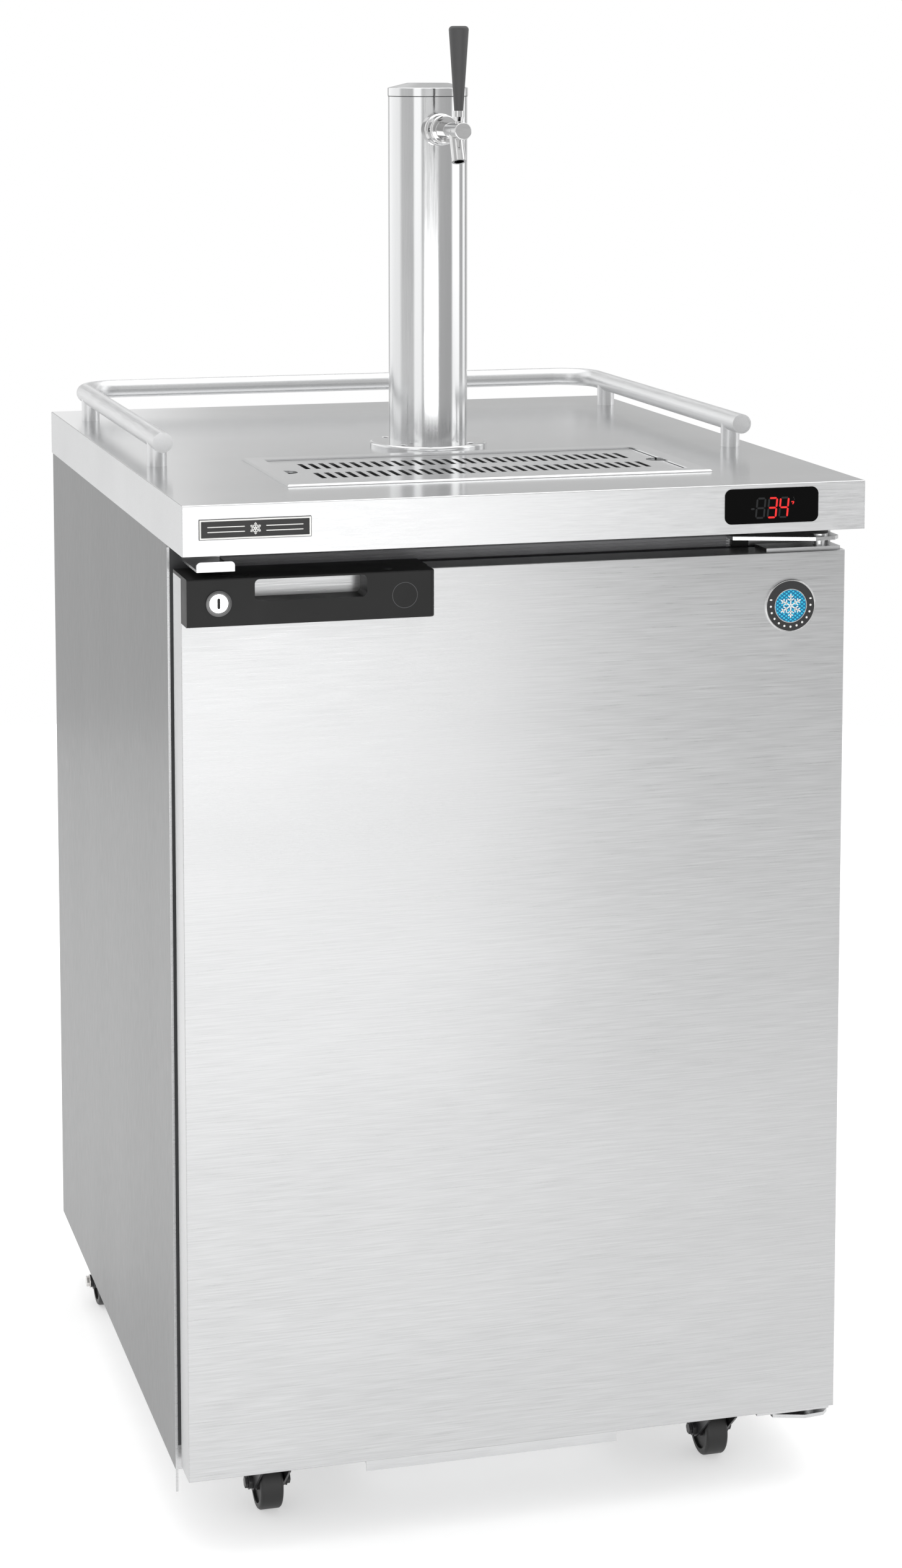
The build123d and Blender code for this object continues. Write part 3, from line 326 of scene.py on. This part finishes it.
white_plastic = moulded("liner_plastic", (0.74, 0.74, 0.73), 0.36, wear=0.012)
grip_plastic = moulded("handle_black", (0.055, 0.055, 0.056), 0.5, grain=1800.0, specular=0.45)
gasket_rubber = moulded("gasket_rubber", (0.30, 0.30, 0.31), 0.6)
tyre_rubber = moulded("caster_rubber", (0.012, 0.012, 0.012), 0.5, wear=0.25)
hose_vinyl = moulded("hose_vinyl", (0.72, 0.74, 0.72), 0.2)
compressor_paint = coated("compressor_paint", (0.012, 0.012, 0.014), 0.3)
fork_black = coated("fork_black", (0.016, 0.016, 0.017), 0.35, specular=0.4)
plate_black = coated("plate_black", (0.020, 0.020, 0.020), 0.35, specular=0.3)
badge_enamel = coated("badge_enamel", (0.032, 0.032, 0.033), 0.3, specular=0.3)
badge_print = coated("badge_print", (0.82, 0.82, 0.8), 0.35, specular=0.3)
display_glass = coated("display_glass", (0.001, 0.001, 0.001), 0.06, depth=0.000002, specular=0.12)
segment_off = coated("segment_off", (0.022, 0.023, 0.024), 0.3, specular=0.1)
segment_on = glowing("segment_on", (1.0, 0.012, 0.01), 1.0)
badge_blue = tiled("badge_blue", (0.0, 0.13, 0.28), (0.03, 0.55, 0.78))
foam_yellow = foam("foam", (0.72, 0.62, 0.38))

finish = {
    "counter_steel": steel_counter,
    "panel_steel": steel_side,
    "door_steel": steel_door,
    "base_steel": steel_base,
    "foam": foam_yellow,
    "strip_plastic": strip_plastic,
    "liner_aluminium": liner_metal,
    "floor_steel": steel_floor,
    "black_plastic": black_plastic,
    "gasket_rubber": gasket_rubber,
    "coil_metal": coil_metal,
    "compressor_paint": compressor_paint,
    "display_glass": display_glass,
    "plate_black": plate_black,
    "badge_enamel": badge_enamel,
    "rail_metal": rail_metal,
    "tower_metal": tower_metal,
    "screw_steel": screw_metal,
    "tap_chrome": chrome,
    "handle_black": grip_plastic,
    "hose_vinyl": hose_vinyl,
    "tray_steel": steel_tray,
    "pan_steel": steel_pan,
    "caster_zinc": zinc,
    "caster_rubber": tyre_rubber,
}
for cad in nodes.values():
    for place in cad.material_slots:
        place.material = finish[place.material.name.split(".")[0]]
for name in ("door_liner", "evaporator_cover"):
    nodes[name].material_slots[0].material = white_plastic
nodes["lock_housing"].material_slots[0].material = lock_metal
casters = [(end, side) for end in ("front", "rear") for side in ("left", "right")]
for end, side in casters:
    nodes[f"caster_fork_{end}_{side}"].material_slots[0].material = fork_black


# ---------------------------------------------------------------- piece helpers
def piece(name, shape, material, body, bevel=0.0, angle=35.0):
    """Makes an object of a finished bmesh, rounds its edges, and lets it ride on a CAD body."""
    bmesh.ops.recalc_face_normals(shape, faces=shape.faces)
    mesh = bpy.data.meshes.new(name)
    shape.to_mesh(mesh)
    shape.free()
    mesh.shade_smooth()
    mesh.set_sharp_from_angle(angle=math.radians(angle))
    mesh.materials.append(material)
    obj = bpy.data.objects.new(name, mesh)
    bpy.context.scene.collection.objects.link(obj)
    if bevel:
        edge = obj.modifiers.new("edge", "BEVEL")
        edge.width, edge.segments, edge.limit_method = bevel * MM, 3, "ANGLE"
        edge.angle_limit = math.radians(angle)
        edge.harden_normals = True
    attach(obj, body)
    return obj


def rounded(width, height, radius, steps=8):
    """Outline of a rectangle with round corners, round the origin."""
    points = []
    for corner, (sx, sz) in enumerate(((1, 1), (-1, 1), (-1, -1), (1, -1))):
        for step in range(steps + 1):
            turn = math.radians(90 * corner + 90 * step / steps)
            points.append(
                (
                    sx * (width / 2 - radius) + radius * math.cos(turn),
                    sz * (height / 2 - radius) + radius * math.sin(turn),
                )
            )
    return points


def slab(shape, outline, centre, depth, facing="-Y"):
    """Adds a prism over an outline; centre is the middle of its back, in millimetres."""
    place = facings(facing, centre)
    front = [shape.verts.new(place @ Vector((a * MM, b * MM, depth * MM))) for a, b in outline]
    rear = [shape.verts.new(place @ Vector((a * MM, b * MM, 0))) for a, b in outline]
    shape.faces.new(front)
    shape.faces.new(list(reversed(rear)))
    count = len(outline)
    for i in range(count):
        j = (i + 1) % count
        shape.faces.new((front[i], rear[i], rear[j], front[j]))


def facings(facing, centre):
    """Turns local right, up and out into the frame's axes."""
    right, up, out_of = {
        "-Y": ((1, 0, 0), (0, 0, 1), (0, -1, 0)),
        "+Y": ((-1, 0, 0), (0, 0, 1), (0, 1, 0)),
        "+Z": ((1, 0, 0), (0, 1, 0), (0, 0, 1)),
        "+X": ((0, 1, 0), (0, 0, 1), (1, 0, 0)),
        "-X": ((0, -1, 0), (0, 0, 1), (-1, 0, 0)),
    }[facing]
    turn = Matrix((right, up, out_of)).transposed().to_4x4()
    return Matrix.Translation(Vector(centre) * MM) @ turn


def turned(shape, profile, centre, facing="-Y", steps=72):
    """Adds a lathe shape: profile is (radius, height out of the face) from one end to the other."""
    place = facings(facing, centre)
    rings = []
    for radius, rise in profile:
        turns = [2 * math.pi * i / steps for i in range(steps if radius else 1)]
        spots = [(radius * MM * math.cos(turn), radius * MM * math.sin(turn), rise * MM) for turn in turns]
        rings.append([shape.verts.new(place @ Vector(spot)) for spot in spots])
    for first, second in zip(rings, rings[1:]):
        for i in range(steps):
            j = (i + 1) % steps
            if len(first) == 1:
                shape.faces.new((first[0], second[i], second[j]))
            elif len(second) == 1:
                shape.faces.new((first[j], first[i], second[0]))
            else:
                shape.faces.new((first[i], second[i], second[j], first[j]))


def bar(start, end, width, taper=0.5):
    """Outline of a straight bar with pointed ends between two points; taper is a tip's length in widths."""
    a, b = Vector(start), Vector(end)
    along = (b - a).normalized()
    side = Vector((-along.y, along.x)) * width / 2
    tip = along * width * taper
    return [tuple(p) for p in (a, a + tip - side, b - tip - side, b, b - tip + side, a + tip + side)]


# ---------------------------------------------------------------- control panel
low, high = box("display_window")
display = ((low + high) / 2) / MM
display.y = low.y / MM
SEGMENTS = {
    "top": ((-1, 2), (1, 2)), "middle": ((-1, 0), (1, 0)), "bottom": ((-1, -2), (1, -2)),
    "upper_left": ((-1, 2), (-1, 0)), "upper_right": ((1, 2), (1, 0)),
    "lower_left": ((-1, 0), (-1, -2)), "lower_right": ((1, 0), (1, -2)),
}
THREE = ("top", "middle", "bottom", "upper_right", "lower_right")
FOUR = ("middle", "upper_left", "upper_right", "lower_right")
DIGITS = ((-10.4, ()), (0.5, THREE), (11.2, FOUR))  # place across the window, and the lamps that are lit
digit_drop, lamp_rise, lamp_w, mark_w, small_w = 1.9, 0.12, 1.6, 0.9, 0.7
lit, dim = bmesh.new(), bmesh.new()


def segment(shape, start, end, centre):
    """One lamp of a slanted seven-part digit, 9 mm wide and 18.6 mm high."""
    half_width, quarter_height, lean, gap_share = 3.7, 4.25, 0.09, 0.35
    ends = []
    for a, b in (start, end):
        ends.append(Vector((a * half_width + b * quarter_height * lean, b * quarter_height)))
    gap = (ends[1] - ends[0]).normalized() * gap_share
    slab(shape, bar(ends[0] + gap, ends[1] - gap, lamp_w), centre, lamp_rise)


for offset, numeral in DIGITS:
    digit = (display.x + offset, display.y, display.z - digit_drop)
    for which, (start, end) in SEGMENTS.items():
        segment(lit if which in numeral else dim, start, end, digit)
minus = (display.x - 17.7, display.y, display.z - 2.4)
slab(dim, bar((-1.9, 0), (1.9, 0), lamp_w), minus, lamp_rise)
lit_mark = (display.x + 19.4, display.y, display.z + 1.9)
slab(lit, bar((-1.5, 0.9), (1.4, 0.9), mark_w), lit_mark, lamp_rise)
slab(lit, bar((1.2, 1.0), (-0.1, -1.5), mark_w), lit_mark, lamp_rise)
dim_mark = (display.x + 20.2, display.y, display.z + 6.6)
slab(dim, bar((-0.6, 0.0), (0.6, 0.0), small_w), dim_mark, lamp_rise)
slab(dim, bar((0.4, -0.9), (0.9, -2.4), small_w), dim_mark, lamp_rise)
piece("display_lit", lit, segment_on, "cabinet")
piece("display_dim", dim, segment_off, "cabinet")

# ---------------------------------------------------------------- lock and the gap over the door
plug = middle("lock_housing") / MM
plug.y = box("lock_plug")[0].y / MM
key_w, key_h, key_r = 2.4, 9.0, 1.1
# A thin black sheet on the plug's face: painted shade of the keyway.
keyway = bmesh.new()
slab(keyway, rounded(key_w, key_h, key_r, 5), plug, 0.12)
piece("key_slot_shade", keyway, black_plastic, "lock", bevel=0.05)
lock_ring = bmesh.new()
ring_profile = [(8.3, 0), (8.4, 0.45), (10.4, 0.45), (11.0, 0.1), (11.0, 0)]
turned(lock_ring, ring_profile, (plug.x, box("lock_housing")[0].y / MM, plug.z))
piece("lock_ring", lock_ring, lock_metal, "door", angle=50)

low, high = box("door_handle")
circle_x, stud_x, stud_back = -112, -123.5, 12
handle_marks = bmesh.new()
circle_profile = [(11.2, 0), (11.1, 0.12), (10.7, 0.12), (10.6, 0)]
turned(handle_marks, circle_profile, (circle_x, low.y / MM, plug.z))
stud_profile = [(3.3, 0), (3.1, 0.3), (0, 0.4)]
turned(handle_marks, stud_profile, (stud_x, low.y / MM + stud_back, high.z / MM), "+Z", 32)
piece("handle_marks", handle_marks, strip_plastic, "door")

cabinet_face = box("breaker_strips")[0].y / MM
seal_h, seal_t, rib_t, rib_top, rib_pitch = 10.5, 2.2, 2.9, 9.6, 2.6
left, right, seal_z = -258.0, 205.0, 868.4
ribs = [(0, 0), (0, seal_h)]
for rib in range(4):
    crest = rib_top - rib * rib_pitch
    ribs += [(seal_t, crest), (rib_t, crest - 0.5), (rib_t, crest - 1.1), (seal_t, crest - 1.6)]
ribs.append((seal_t, 0))
seal = bmesh.new()
ends = []
for x in (left, right):
    corners = [Vector((x, cabinet_face - out_of, seal_z + up)) * MM for out_of, up in ribs]
    ends.append([seal.verts.new(corner) for corner in corners])
seal.faces.new(ends[0])
seal.faces.new(list(reversed(ends[1])))
for i in range(len(ribs)):
    j = (i + 1) % len(ribs)
    seal.faces.new((ends[0][i], ends[1][i], ends[1][j], ends[0][j]))
piece("header_seal", seal, seal_grey, "cabinet")
block_w, block_h, block_t, block_past, block_up = 16, 13, 6.0, 10, 6
stop = bmesh.new()
slab(stop, rounded(block_w, block_h, 1.5, 4), (right + block_past, cabinet_face, seal_z + block_up), block_t)
piece("seal_block", stop, black_plastic, "cabinet", bevel=0.5)

# ---------------------------------------------------------------- name plate and badge
low, high = box("name_plate")
plate_mid, plate_w, plate_h = (low + high) / 2 / MM, (high.x - low.x) / MM, (high.z - low.z) / MM
base = high.y / MM
line_in, field_in = 1.0, 3.6  # how much smaller the pale line and the black field are than the plate
line_out, field_out, face_out = 0.8, 0.95, 1.2  # out of the fascia
frame_shape = bmesh.new()
slab(frame_shape, rounded(plate_w, plate_h, 0.4, 3), (plate_mid.x, base, plate_mid.z), 0.9)
piece("plate_frame", frame_shape, plate_black, "cabinet", bevel=0.25)
line = bmesh.new()
line_outline = rounded(plate_w - line_in, plate_h - line_in, 0.3, 3)
slab(line, line_outline, (plate_mid.x, base - line_out, plate_mid.z), 0.25)
piece("plate_line", line, badge_print, "cabinet")
field = bmesh.new()
field_outline = rounded(plate_w - field_in, plate_h - field_in, 0.2, 3)
slab(field, field_outline, (plate_mid.x, base - field_out, plate_mid.z), 0.25)
plate_field = piece("plate_field", field, plate_black, "cabinet")
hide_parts("name_plate")


def snowflake(shape, centre, size, width, depth):
    """Six arms with two pairs of branches each."""
    for arm in range(6):
        turn = math.radians(60 * arm + 30)
        out_way = Vector((math.cos(turn), math.sin(turn)))
        slab(shape, bar(out_way * width * 0.3, out_way * size, width), centre, depth)
        for share, length in ((0.42, 0.34), (0.68, 0.26)):
            for lean in (-1, 1):
                spread = turn + lean * math.radians(60)
                branch = Vector((math.cos(spread), math.sin(spread)))
                root = out_way * size * share
                slab(shape, bar(root, root + branch * size * length, width * 0.8), centre, depth)


ornament = bmesh.new()
plate_face = (plate_mid.x, base - face_out, plate_mid.z)
snowflake(ornament, plate_face, 5.2, 0.9, 0.15)
for side in (-1, 1):
    for rise in (-2.1, 2.1):
        slab(ornament, bar((side * 9, rise), (side * 41, rise), 0.7), plate_face, 0.15)
piece("plate_ornament", ornament, badge_print, "cabinet")

low, high = box("door_badge")
badge, badge_r = (low + high) / 2 / MM, (high.x - low.x) / 2 / MM
badge.y = high.y / MM
bed, enamel, lip = 1.6, 1.75, 2.0  # heights of the badge's floor, its enamel and its metal rings
rim = bmesh.new()
outer_ring = [(badge_r, 0), (badge_r, 1.5), (badge_r - 0.5, lip), (badge_r - 1.1, lip)]
outer_ring += [(badge_r - 1.5, bed), (0, bed)]
turned(rim, outer_ring, badge)
turned(rim, [(15.4, bed), (15.2, lip), (14.6, lip), (14.4, bed)], badge)
badge_rim = piece("badge_rim", rim, screw_metal, "door", angle=25)
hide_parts("door_badge")
ring_shape = bmesh.new()
turned(ring_shape, [(badge_r - 1.3, bed), (badge_r - 1.35, enamel), (15.3, enamel), (15.2, bed)], badge)
piece("badge_ring", ring_shape, badge_enamel, "door", angle=25)
centre_shape = bmesh.new()
turned(centre_shape, [(14.5, bed), (14.4, enamel), (0, enamel)], badge)
piece("badge_centre", centre_shape, badge_blue, "door", angle=25)
print_face, print_t, dot_ring, dot_step = badge.y - enamel, 0.12, 18.8, 18
print_shape = bmesh.new()
snowflake(print_shape, (badge.x, print_face, badge.z), 11.0, 1.15, print_t)
for spot in range(-5, 6):
    turn = math.radians(-90 + dot_step * spot)
    dot = (badge.x + dot_ring * math.cos(turn), print_face, badge.z + dot_ring * math.sin(turn))
    turned(print_shape, [(1.0, 0), (0.9, print_t), (0, print_t)], dot, steps=20)
for side in (-1, 1):
    diamond = [(side * (17.2 + 3 * k / 10), z) for k, z in ((0, 6.0), (5, 6.9), (10, 6.0), (5, 5.1))]
    slab(print_shape, diamond[::side], (badge.x, print_face, badge.z), print_t)
piece("badge_print", print_shape, badge_print, "door")

# ---------------------------------------------------------------- near-black sheet inside the drip tray: painted shade of its well
low, high = box("drip_tray")
grate_low, grate_high = box("drip_grate")
ledge_x, ledge_y, shade_sheet_t = 5.3, 4.3, 0.3  # ledges that carry the grate, and the thickness of the near-black sheet inside them that paints the well's shade
x_in = (grate_high.x - grate_low.x) / 2 / MM - ledge_x
y_in = (grate_high.y - grate_low.y) / 2 / MM - ledge_y
tray_mid, well_floor, well_top = (low + high) / 2 / MM, low.z / MM + 1.25, grate_low.z / MM - 0.8
well = bmesh.new()
slab(well, rounded(2 * x_in, 2 * y_in, 3, 4), (tray_mid.x, tray_mid.y, well_floor), shade_sheet_t, "+Z")
tall = well_top - well_floor
for facing, shift, width in (
    ("-Y", (0, y_in, 0), 2 * x_in),
    ("+Y", (0, -y_in, 0), 2 * x_in),
    ("-X", (x_in, 0, 0), 2 * y_in),
    ("+X", (-x_in, 0, 0), 2 * y_in),
):
    place = (tray_mid.x + shift[0], tray_mid.y + shift[1], well_floor + tall / 2)
    slab(well, rounded(width - 1, tall, 1, 3), place, shade_sheet_t, facing)
piece("tray_well_shade", well, well_painted_shade, "cabinet")

# ---------------------------------------------------------------- black pads under the grate's finger notches: painted shade
pad_w, pad_l, pad_r, pad_inward, pad_forward, pad_drop = 13, 24, 5, 2.5, 3, 0.5
shade = bmesh.new()
for side in (-1, 1):
    place = (tray_mid.x + side * (x_in - pad_inward), tray_mid.y - pad_forward, grate_low.z / MM - pad_drop)
    slab(shade, rounded(pad_w, pad_l, pad_r, 4), place, 0.12, "+Z")
piece("notch_painted_shade", shade, black_plastic, "cabinet")

# ---------------------------------------------------------------- lighter steel strips on the side panels' front edges: painted highlight of their bends
edge_w, edge_h, edge_z, edge_t = 2.2, 842, 467, 0.6
panel_low, panel_high = (corner / MM for corner in box("side_panels"))
edge_highlights = bmesh.new()
for x in (panel_low.x + edge_w / 2, panel_high.x - edge_w / 2):
    slab(edge_highlights, rounded(edge_w, edge_h, 0.4, 3), (x, panel_low.y, edge_z), edge_t)
piece("panel_edge_highlights", edge_highlights, steel_base, "cabinet")

# ---------------------------------------------------------------- black hexagons on the flange's screws: painted shade of their sockets
low, high = (corner / MM for corner in box("tower_screws"))
socket, head_r = bmesh.new(), 4.3
for x in (low.x + head_r, high.x - head_r):
    for y in (low.y + head_r, high.y - head_r):
        turned(socket, [(2.3, 0), (2.2, 0.12), (0, 0.12)], (x, y, high.z), "+Z", 6)
piece("flange_socket_shade", socket, black_plastic, "cabinet")

# ---------------------------------------------------------------- seam under the tower's cap
low, high = box("tower_column")
column, column_r, seam_z = middle("tower_column") / MM, (high.x - low.x) / 2 / MM, high.z / MM
seam_out, seam_low, seam_high = column_r + 0.15, -0.9, -0.1
seam = bmesh.new()
band = [(column_r, seam_low), (seam_out, seam_low), (seam_out, seam_high), (column_r, seam_high)]
turned(seam, band, (column.x, column.y, seam_z), "+Z", 96)
piece("cap_seam", seam, strip_plastic, "cabinet")

# ---------------------------------------------------------------- caster nuts
nut_r, washer_t, nut_t = 5.6, 0.6, 3.2
hexagon = [(nut_r * math.cos(math.radians(60 * k)), nut_r * math.sin(math.radians(60 * k))) for k in range(6)]
for end, side in casters:
    low, high = box(f"caster_fork_{end}_{side}")
    axle = middle(f"caster_wheel_{end}_{side}") / MM
    nuts = bmesh.new()
    for facing, x, out_way in (("-X", low.x / MM, -1), ("+X", high.x / MM, 1)):
        turned(nuts, [(7.0, 0), (7.0, 0.7), (3.0, 0.7)], (x, axle.y, axle.z), facing, 40)
        slab(nuts, hexagon, (x + out_way * washer_t, axle.y, axle.z), nut_t, facing)
    metal = zinc if end == "rear" else fork_black
    piece(f"axle_nuts_{end}_{side}", nuts, metal, f"swivel_{end}_{side}", bevel=0.4)

# ---------------------------------------------------------------- rear of the cabinet
rear = box("back_panel")[1].y / MM
edge_x, edge_rows = 291, (80, 220, 352, 380, 545, 710, 876)
inner_x, inner_rows = 97, (352, 380, 876)
spots = [(x, z) for x in (-edge_x, edge_x) for z in edge_rows]
spots += [(x, z) for x in (-inner_x, inner_x) for z in inner_rows]
# The black crosses on the screw heads are painted shade of their recesses.
recess_long, recess_wide, recess_out = 3.2, 0.7, 1.72
heads, recess = bmesh.new(), bmesh.new()
for x, z in spots:
    turned(heads, [(4.0, 0), (3.9, 0.7), (3.0, 1.5), (0, 1.8)], (x, rear, z), "+Y", 32)
    for long_x, long_z in ((recess_long, recess_wide), (recess_wide, recess_long)):
        slab(recess, rounded(long_x, long_z, 0.2, 2), (x, rear + recess_out, z), 0.1, "+Y")
piece("panel_screws", heads, screw_metal, "cabinet", angle=25)
piece("screw_recess_shade", recess, black_plastic, "cabinet")
label_w, label_h, label_x, label_z = 84, 52, -170, 470
label = bmesh.new()
slab(label, rounded(label_w, label_h, 3, 6), (label_x, rear, label_z), 0.25, "+Y")
piece("blank_label", label, badge_print, "cabinet", bevel=0.08)

# ---------------------------------------------------------------- studio
# Brightness of the surroundings by compass direction: degrees from the front (0), right (+90) and
# left (-90). The stretches over 1 are the bright bands that the tower, rail and side sheets reflect.
LEVEL_RING = [
    (-180, 0.62), (-168, 0.6), (-162, 1.35), (-108, 1.25), (-94, 0.72), (-58, 0.66), (-54, 1.5),
    (-36, 1.5), (-30, 0.68), (10, 0.72), (26, 0.6), (58, 0.56), (63, 1.7), (88, 1.7), (93, 0.55),
    (106, 0.55), (110, 1.4), (122, 1.4), (126, 0.45), (134, 0.45), (140, 0.9), (150, 0.62),
    (163, 0.6), (168, 0.62), (171, 1.05), (176, 0.8), (180, 0.62),
]
# The same, below the horizon.
LOW_RING = [(-180, 0.9), (-90, 1.0), (-30, 1.1), (8, 1.1), (18, 0.5), (50, 0.45), (80, 0.8), (180, 0.9)]
# Heights, as sines of the elevation, between which LOW_RING turns into LEVEL_RING and that into the ceiling.
HORIZON, CEILING = (-0.16, -0.07), (0.45, 0.8)
CEILING_LEVEL, STUDIO_STRENGTH = 0.5, 2.0
world = bpy.data.worlds.new("studio")
bpy.context.scene.world = world
world.use_nodes = True
sky = world.node_tree
sky.nodes.clear()


def sky_node(kind, **settings):
    """A node of the world, with its settings."""
    node = sky.nodes.new(kind)
    for key, value in settings.items():
        setattr(node, key, value)
    return node


def sky_math(operation, a, b):
    """One operation on two numbers or sockets of the world."""
    node = sky_node("ShaderNodeMath", operation=operation)
    for socket, value in zip(node.inputs, (a, b)):
        if isinstance(value, (int, float)):
            socket.default_value = value
        else:
            sky.links.new(value, socket)
    return node.outputs[0]


def ring(compass, levels):
    """Brightness that changes smoothly with the compass direction."""
    ramp = sky_node("ShaderNodeValToRGB")
    ramp.color_ramp.interpolation = "EASE"
    stops = ramp.color_ramp.elements
    while len(stops) < len(levels):
        stops.new(0.5)
    for stop, (degrees, level) in zip(stops, levels):
        stop.position = (degrees + 180) / 360
        stop.color = (level / 2, level / 2, level / 2, 1)
    sky.links.new(compass, ramp.inputs["Fac"])
    return ramp.outputs["Color"]


look = sky_node("ShaderNodeTexCoord")
axes = sky_node("ShaderNodeSeparateXYZ")
sky.links.new(look.outputs["Generated"], axes.inputs[0])
angle = sky_math("ARCTAN2", axes.outputs["X"], sky_math("MULTIPLY", axes.outputs["Y"], -1.0))
compass = sky_math("ADD", sky_math("DIVIDE", angle, 2 * math.pi), 0.5)
height = sky_node("ShaderNodeMapRange", interpolation_type="SMOOTHSTEP")
height.inputs["From Min"].default_value, height.inputs["From Max"].default_value = HORIZON
sky.links.new(axes.outputs["Z"], height.inputs["Value"])
walls = sky_node("ShaderNodeMix", data_type="RGBA")
sky.links.new(height.outputs["Result"], walls.inputs[0])
sky.links.new(ring(compass, LOW_RING), walls.inputs[6])
sky.links.new(ring(compass, LEVEL_RING), walls.inputs[7])
ceiling = sky_node("ShaderNodeMapRange", interpolation_type="SMOOTHSTEP")
ceiling.inputs["From Min"].default_value, ceiling.inputs["From Max"].default_value = CEILING
sky.links.new(axes.outputs["Z"], ceiling.inputs["Value"])
dome = sky_node("ShaderNodeMix", data_type="RGBA")
sky.links.new(ceiling.outputs["Result"], dome.inputs[0])
sky.links.new(walls.outputs[2], dome.inputs[6])
dome.inputs[7].default_value = (CEILING_LEVEL, CEILING_LEVEL, CEILING_LEVEL, 1)
studio = sky_node("ShaderNodeBackground")
sky.links.new(dome.outputs[2], studio.inputs["Color"])
studio.inputs["Strength"].default_value = STUDIO_STRENGTH
backdrop = sky_node("ShaderNodeBackground")
backdrop.inputs["Color"].default_value = (1, 1, 1, 1)
rays = sky_node("ShaderNodeLightPath")
choose = sky_node("ShaderNodeMixShader")
out = sky_node("ShaderNodeOutputWorld")
sky.links.new(rays.outputs["Is Camera Ray"], choose.inputs["Fac"])
sky.links.new(studio.outputs[0], choose.inputs[1])
sky.links.new(backdrop.outputs[0], choose.inputs[2])
sky.links.new(choose.outputs[0], out.inputs["Surface"])


def softbox(name, place, target, width, height, power):
    """Large area light aimed at a point, unseen by the camera itself."""
    light = bpy.data.lights.new(name, "AREA")
    light.shape, light.size, light.size_y, light.energy = "RECTANGLE", width, height, power
    lamp = bpy.data.objects.new(name, light)
    lamp.location = place
    lamp.rotation_euler = (Vector(target) - Vector(place)).to_track_quat("-Z", "Y").to_euler()
    lamp.visible_camera = False
    bpy.context.scene.collection.objects.link(lamp)


front_x, front_z = -0.35, 0.45
softbox("front_light", (front_x, -3.6, front_z), (front_x, 0.0, front_z), 2.7, 0.8, 18)
softbox("top_light", (0.2, 0.3, 3.8), (0.0, 0.0, 0.7), 4.2, 4.2, 60)

FLOOR_RADIUS = 3.2
floor_mesh = bpy.data.meshes.new("studio_floor")
shape = bmesh.new()
bmesh.ops.create_circle(shape, cap_ends=True, segments=96, radius=FLOOR_RADIUS)
shape.to_mesh(floor_mesh)
shape.free()
studio_floor = bpy.data.objects.new("studio_floor", floor_mesh)
bpy.context.scene.collection.objects.link(studio_floor)
paper = Graph("studio_paper")
fibre = paper.noise((40.0, 40.0, 40.0), 3.0, 0.5)
paper.join(paper.tint((0.7, 0.7, 0.7), paper.spread(fibre, 0.985, 1.01)), paper.shader.inputs["Base Color"])
paper.shader.inputs["Emission Color"].default_value = (1, 1, 1, 1)
paper.shader.inputs["Emission Strength"].default_value = 0.45
paper.shader.inputs["Roughness"].default_value = 0.95
paper.shader.inputs["Specular IOR Level"].default_value = 0.0
floor_mesh.materials.append(paper.material)

# ---------------------------------------------------------------- camera
camera_data = bpy.data.cameras.new("camera")
camera = bpy.data.objects.new("camera", camera_data)
bpy.context.scene.collection.objects.link(camera)
bpy.context.scene.camera = camera
yaw, pitch = math.radians(15.51), math.radians(6.28)
camera.location = (-0.7875, -2.9403, 1.3031)
forward = Vector((math.sin(yaw) * math.cos(pitch), math.cos(yaw) * math.cos(pitch), -math.sin(pitch)))
camera.rotation_euler = forward.to_track_quat("-Z", "Y").to_euler()
camera_data.sensor_width = 36.0
camera_data.lens = 73.0
camera_data.shift_y = -0.24
camera_data.clip_start, camera_data.clip_end = 0.05, 60.0

view = bpy.context.scene.view_settings
view.view_transform = "Standard"
view.look = "None"
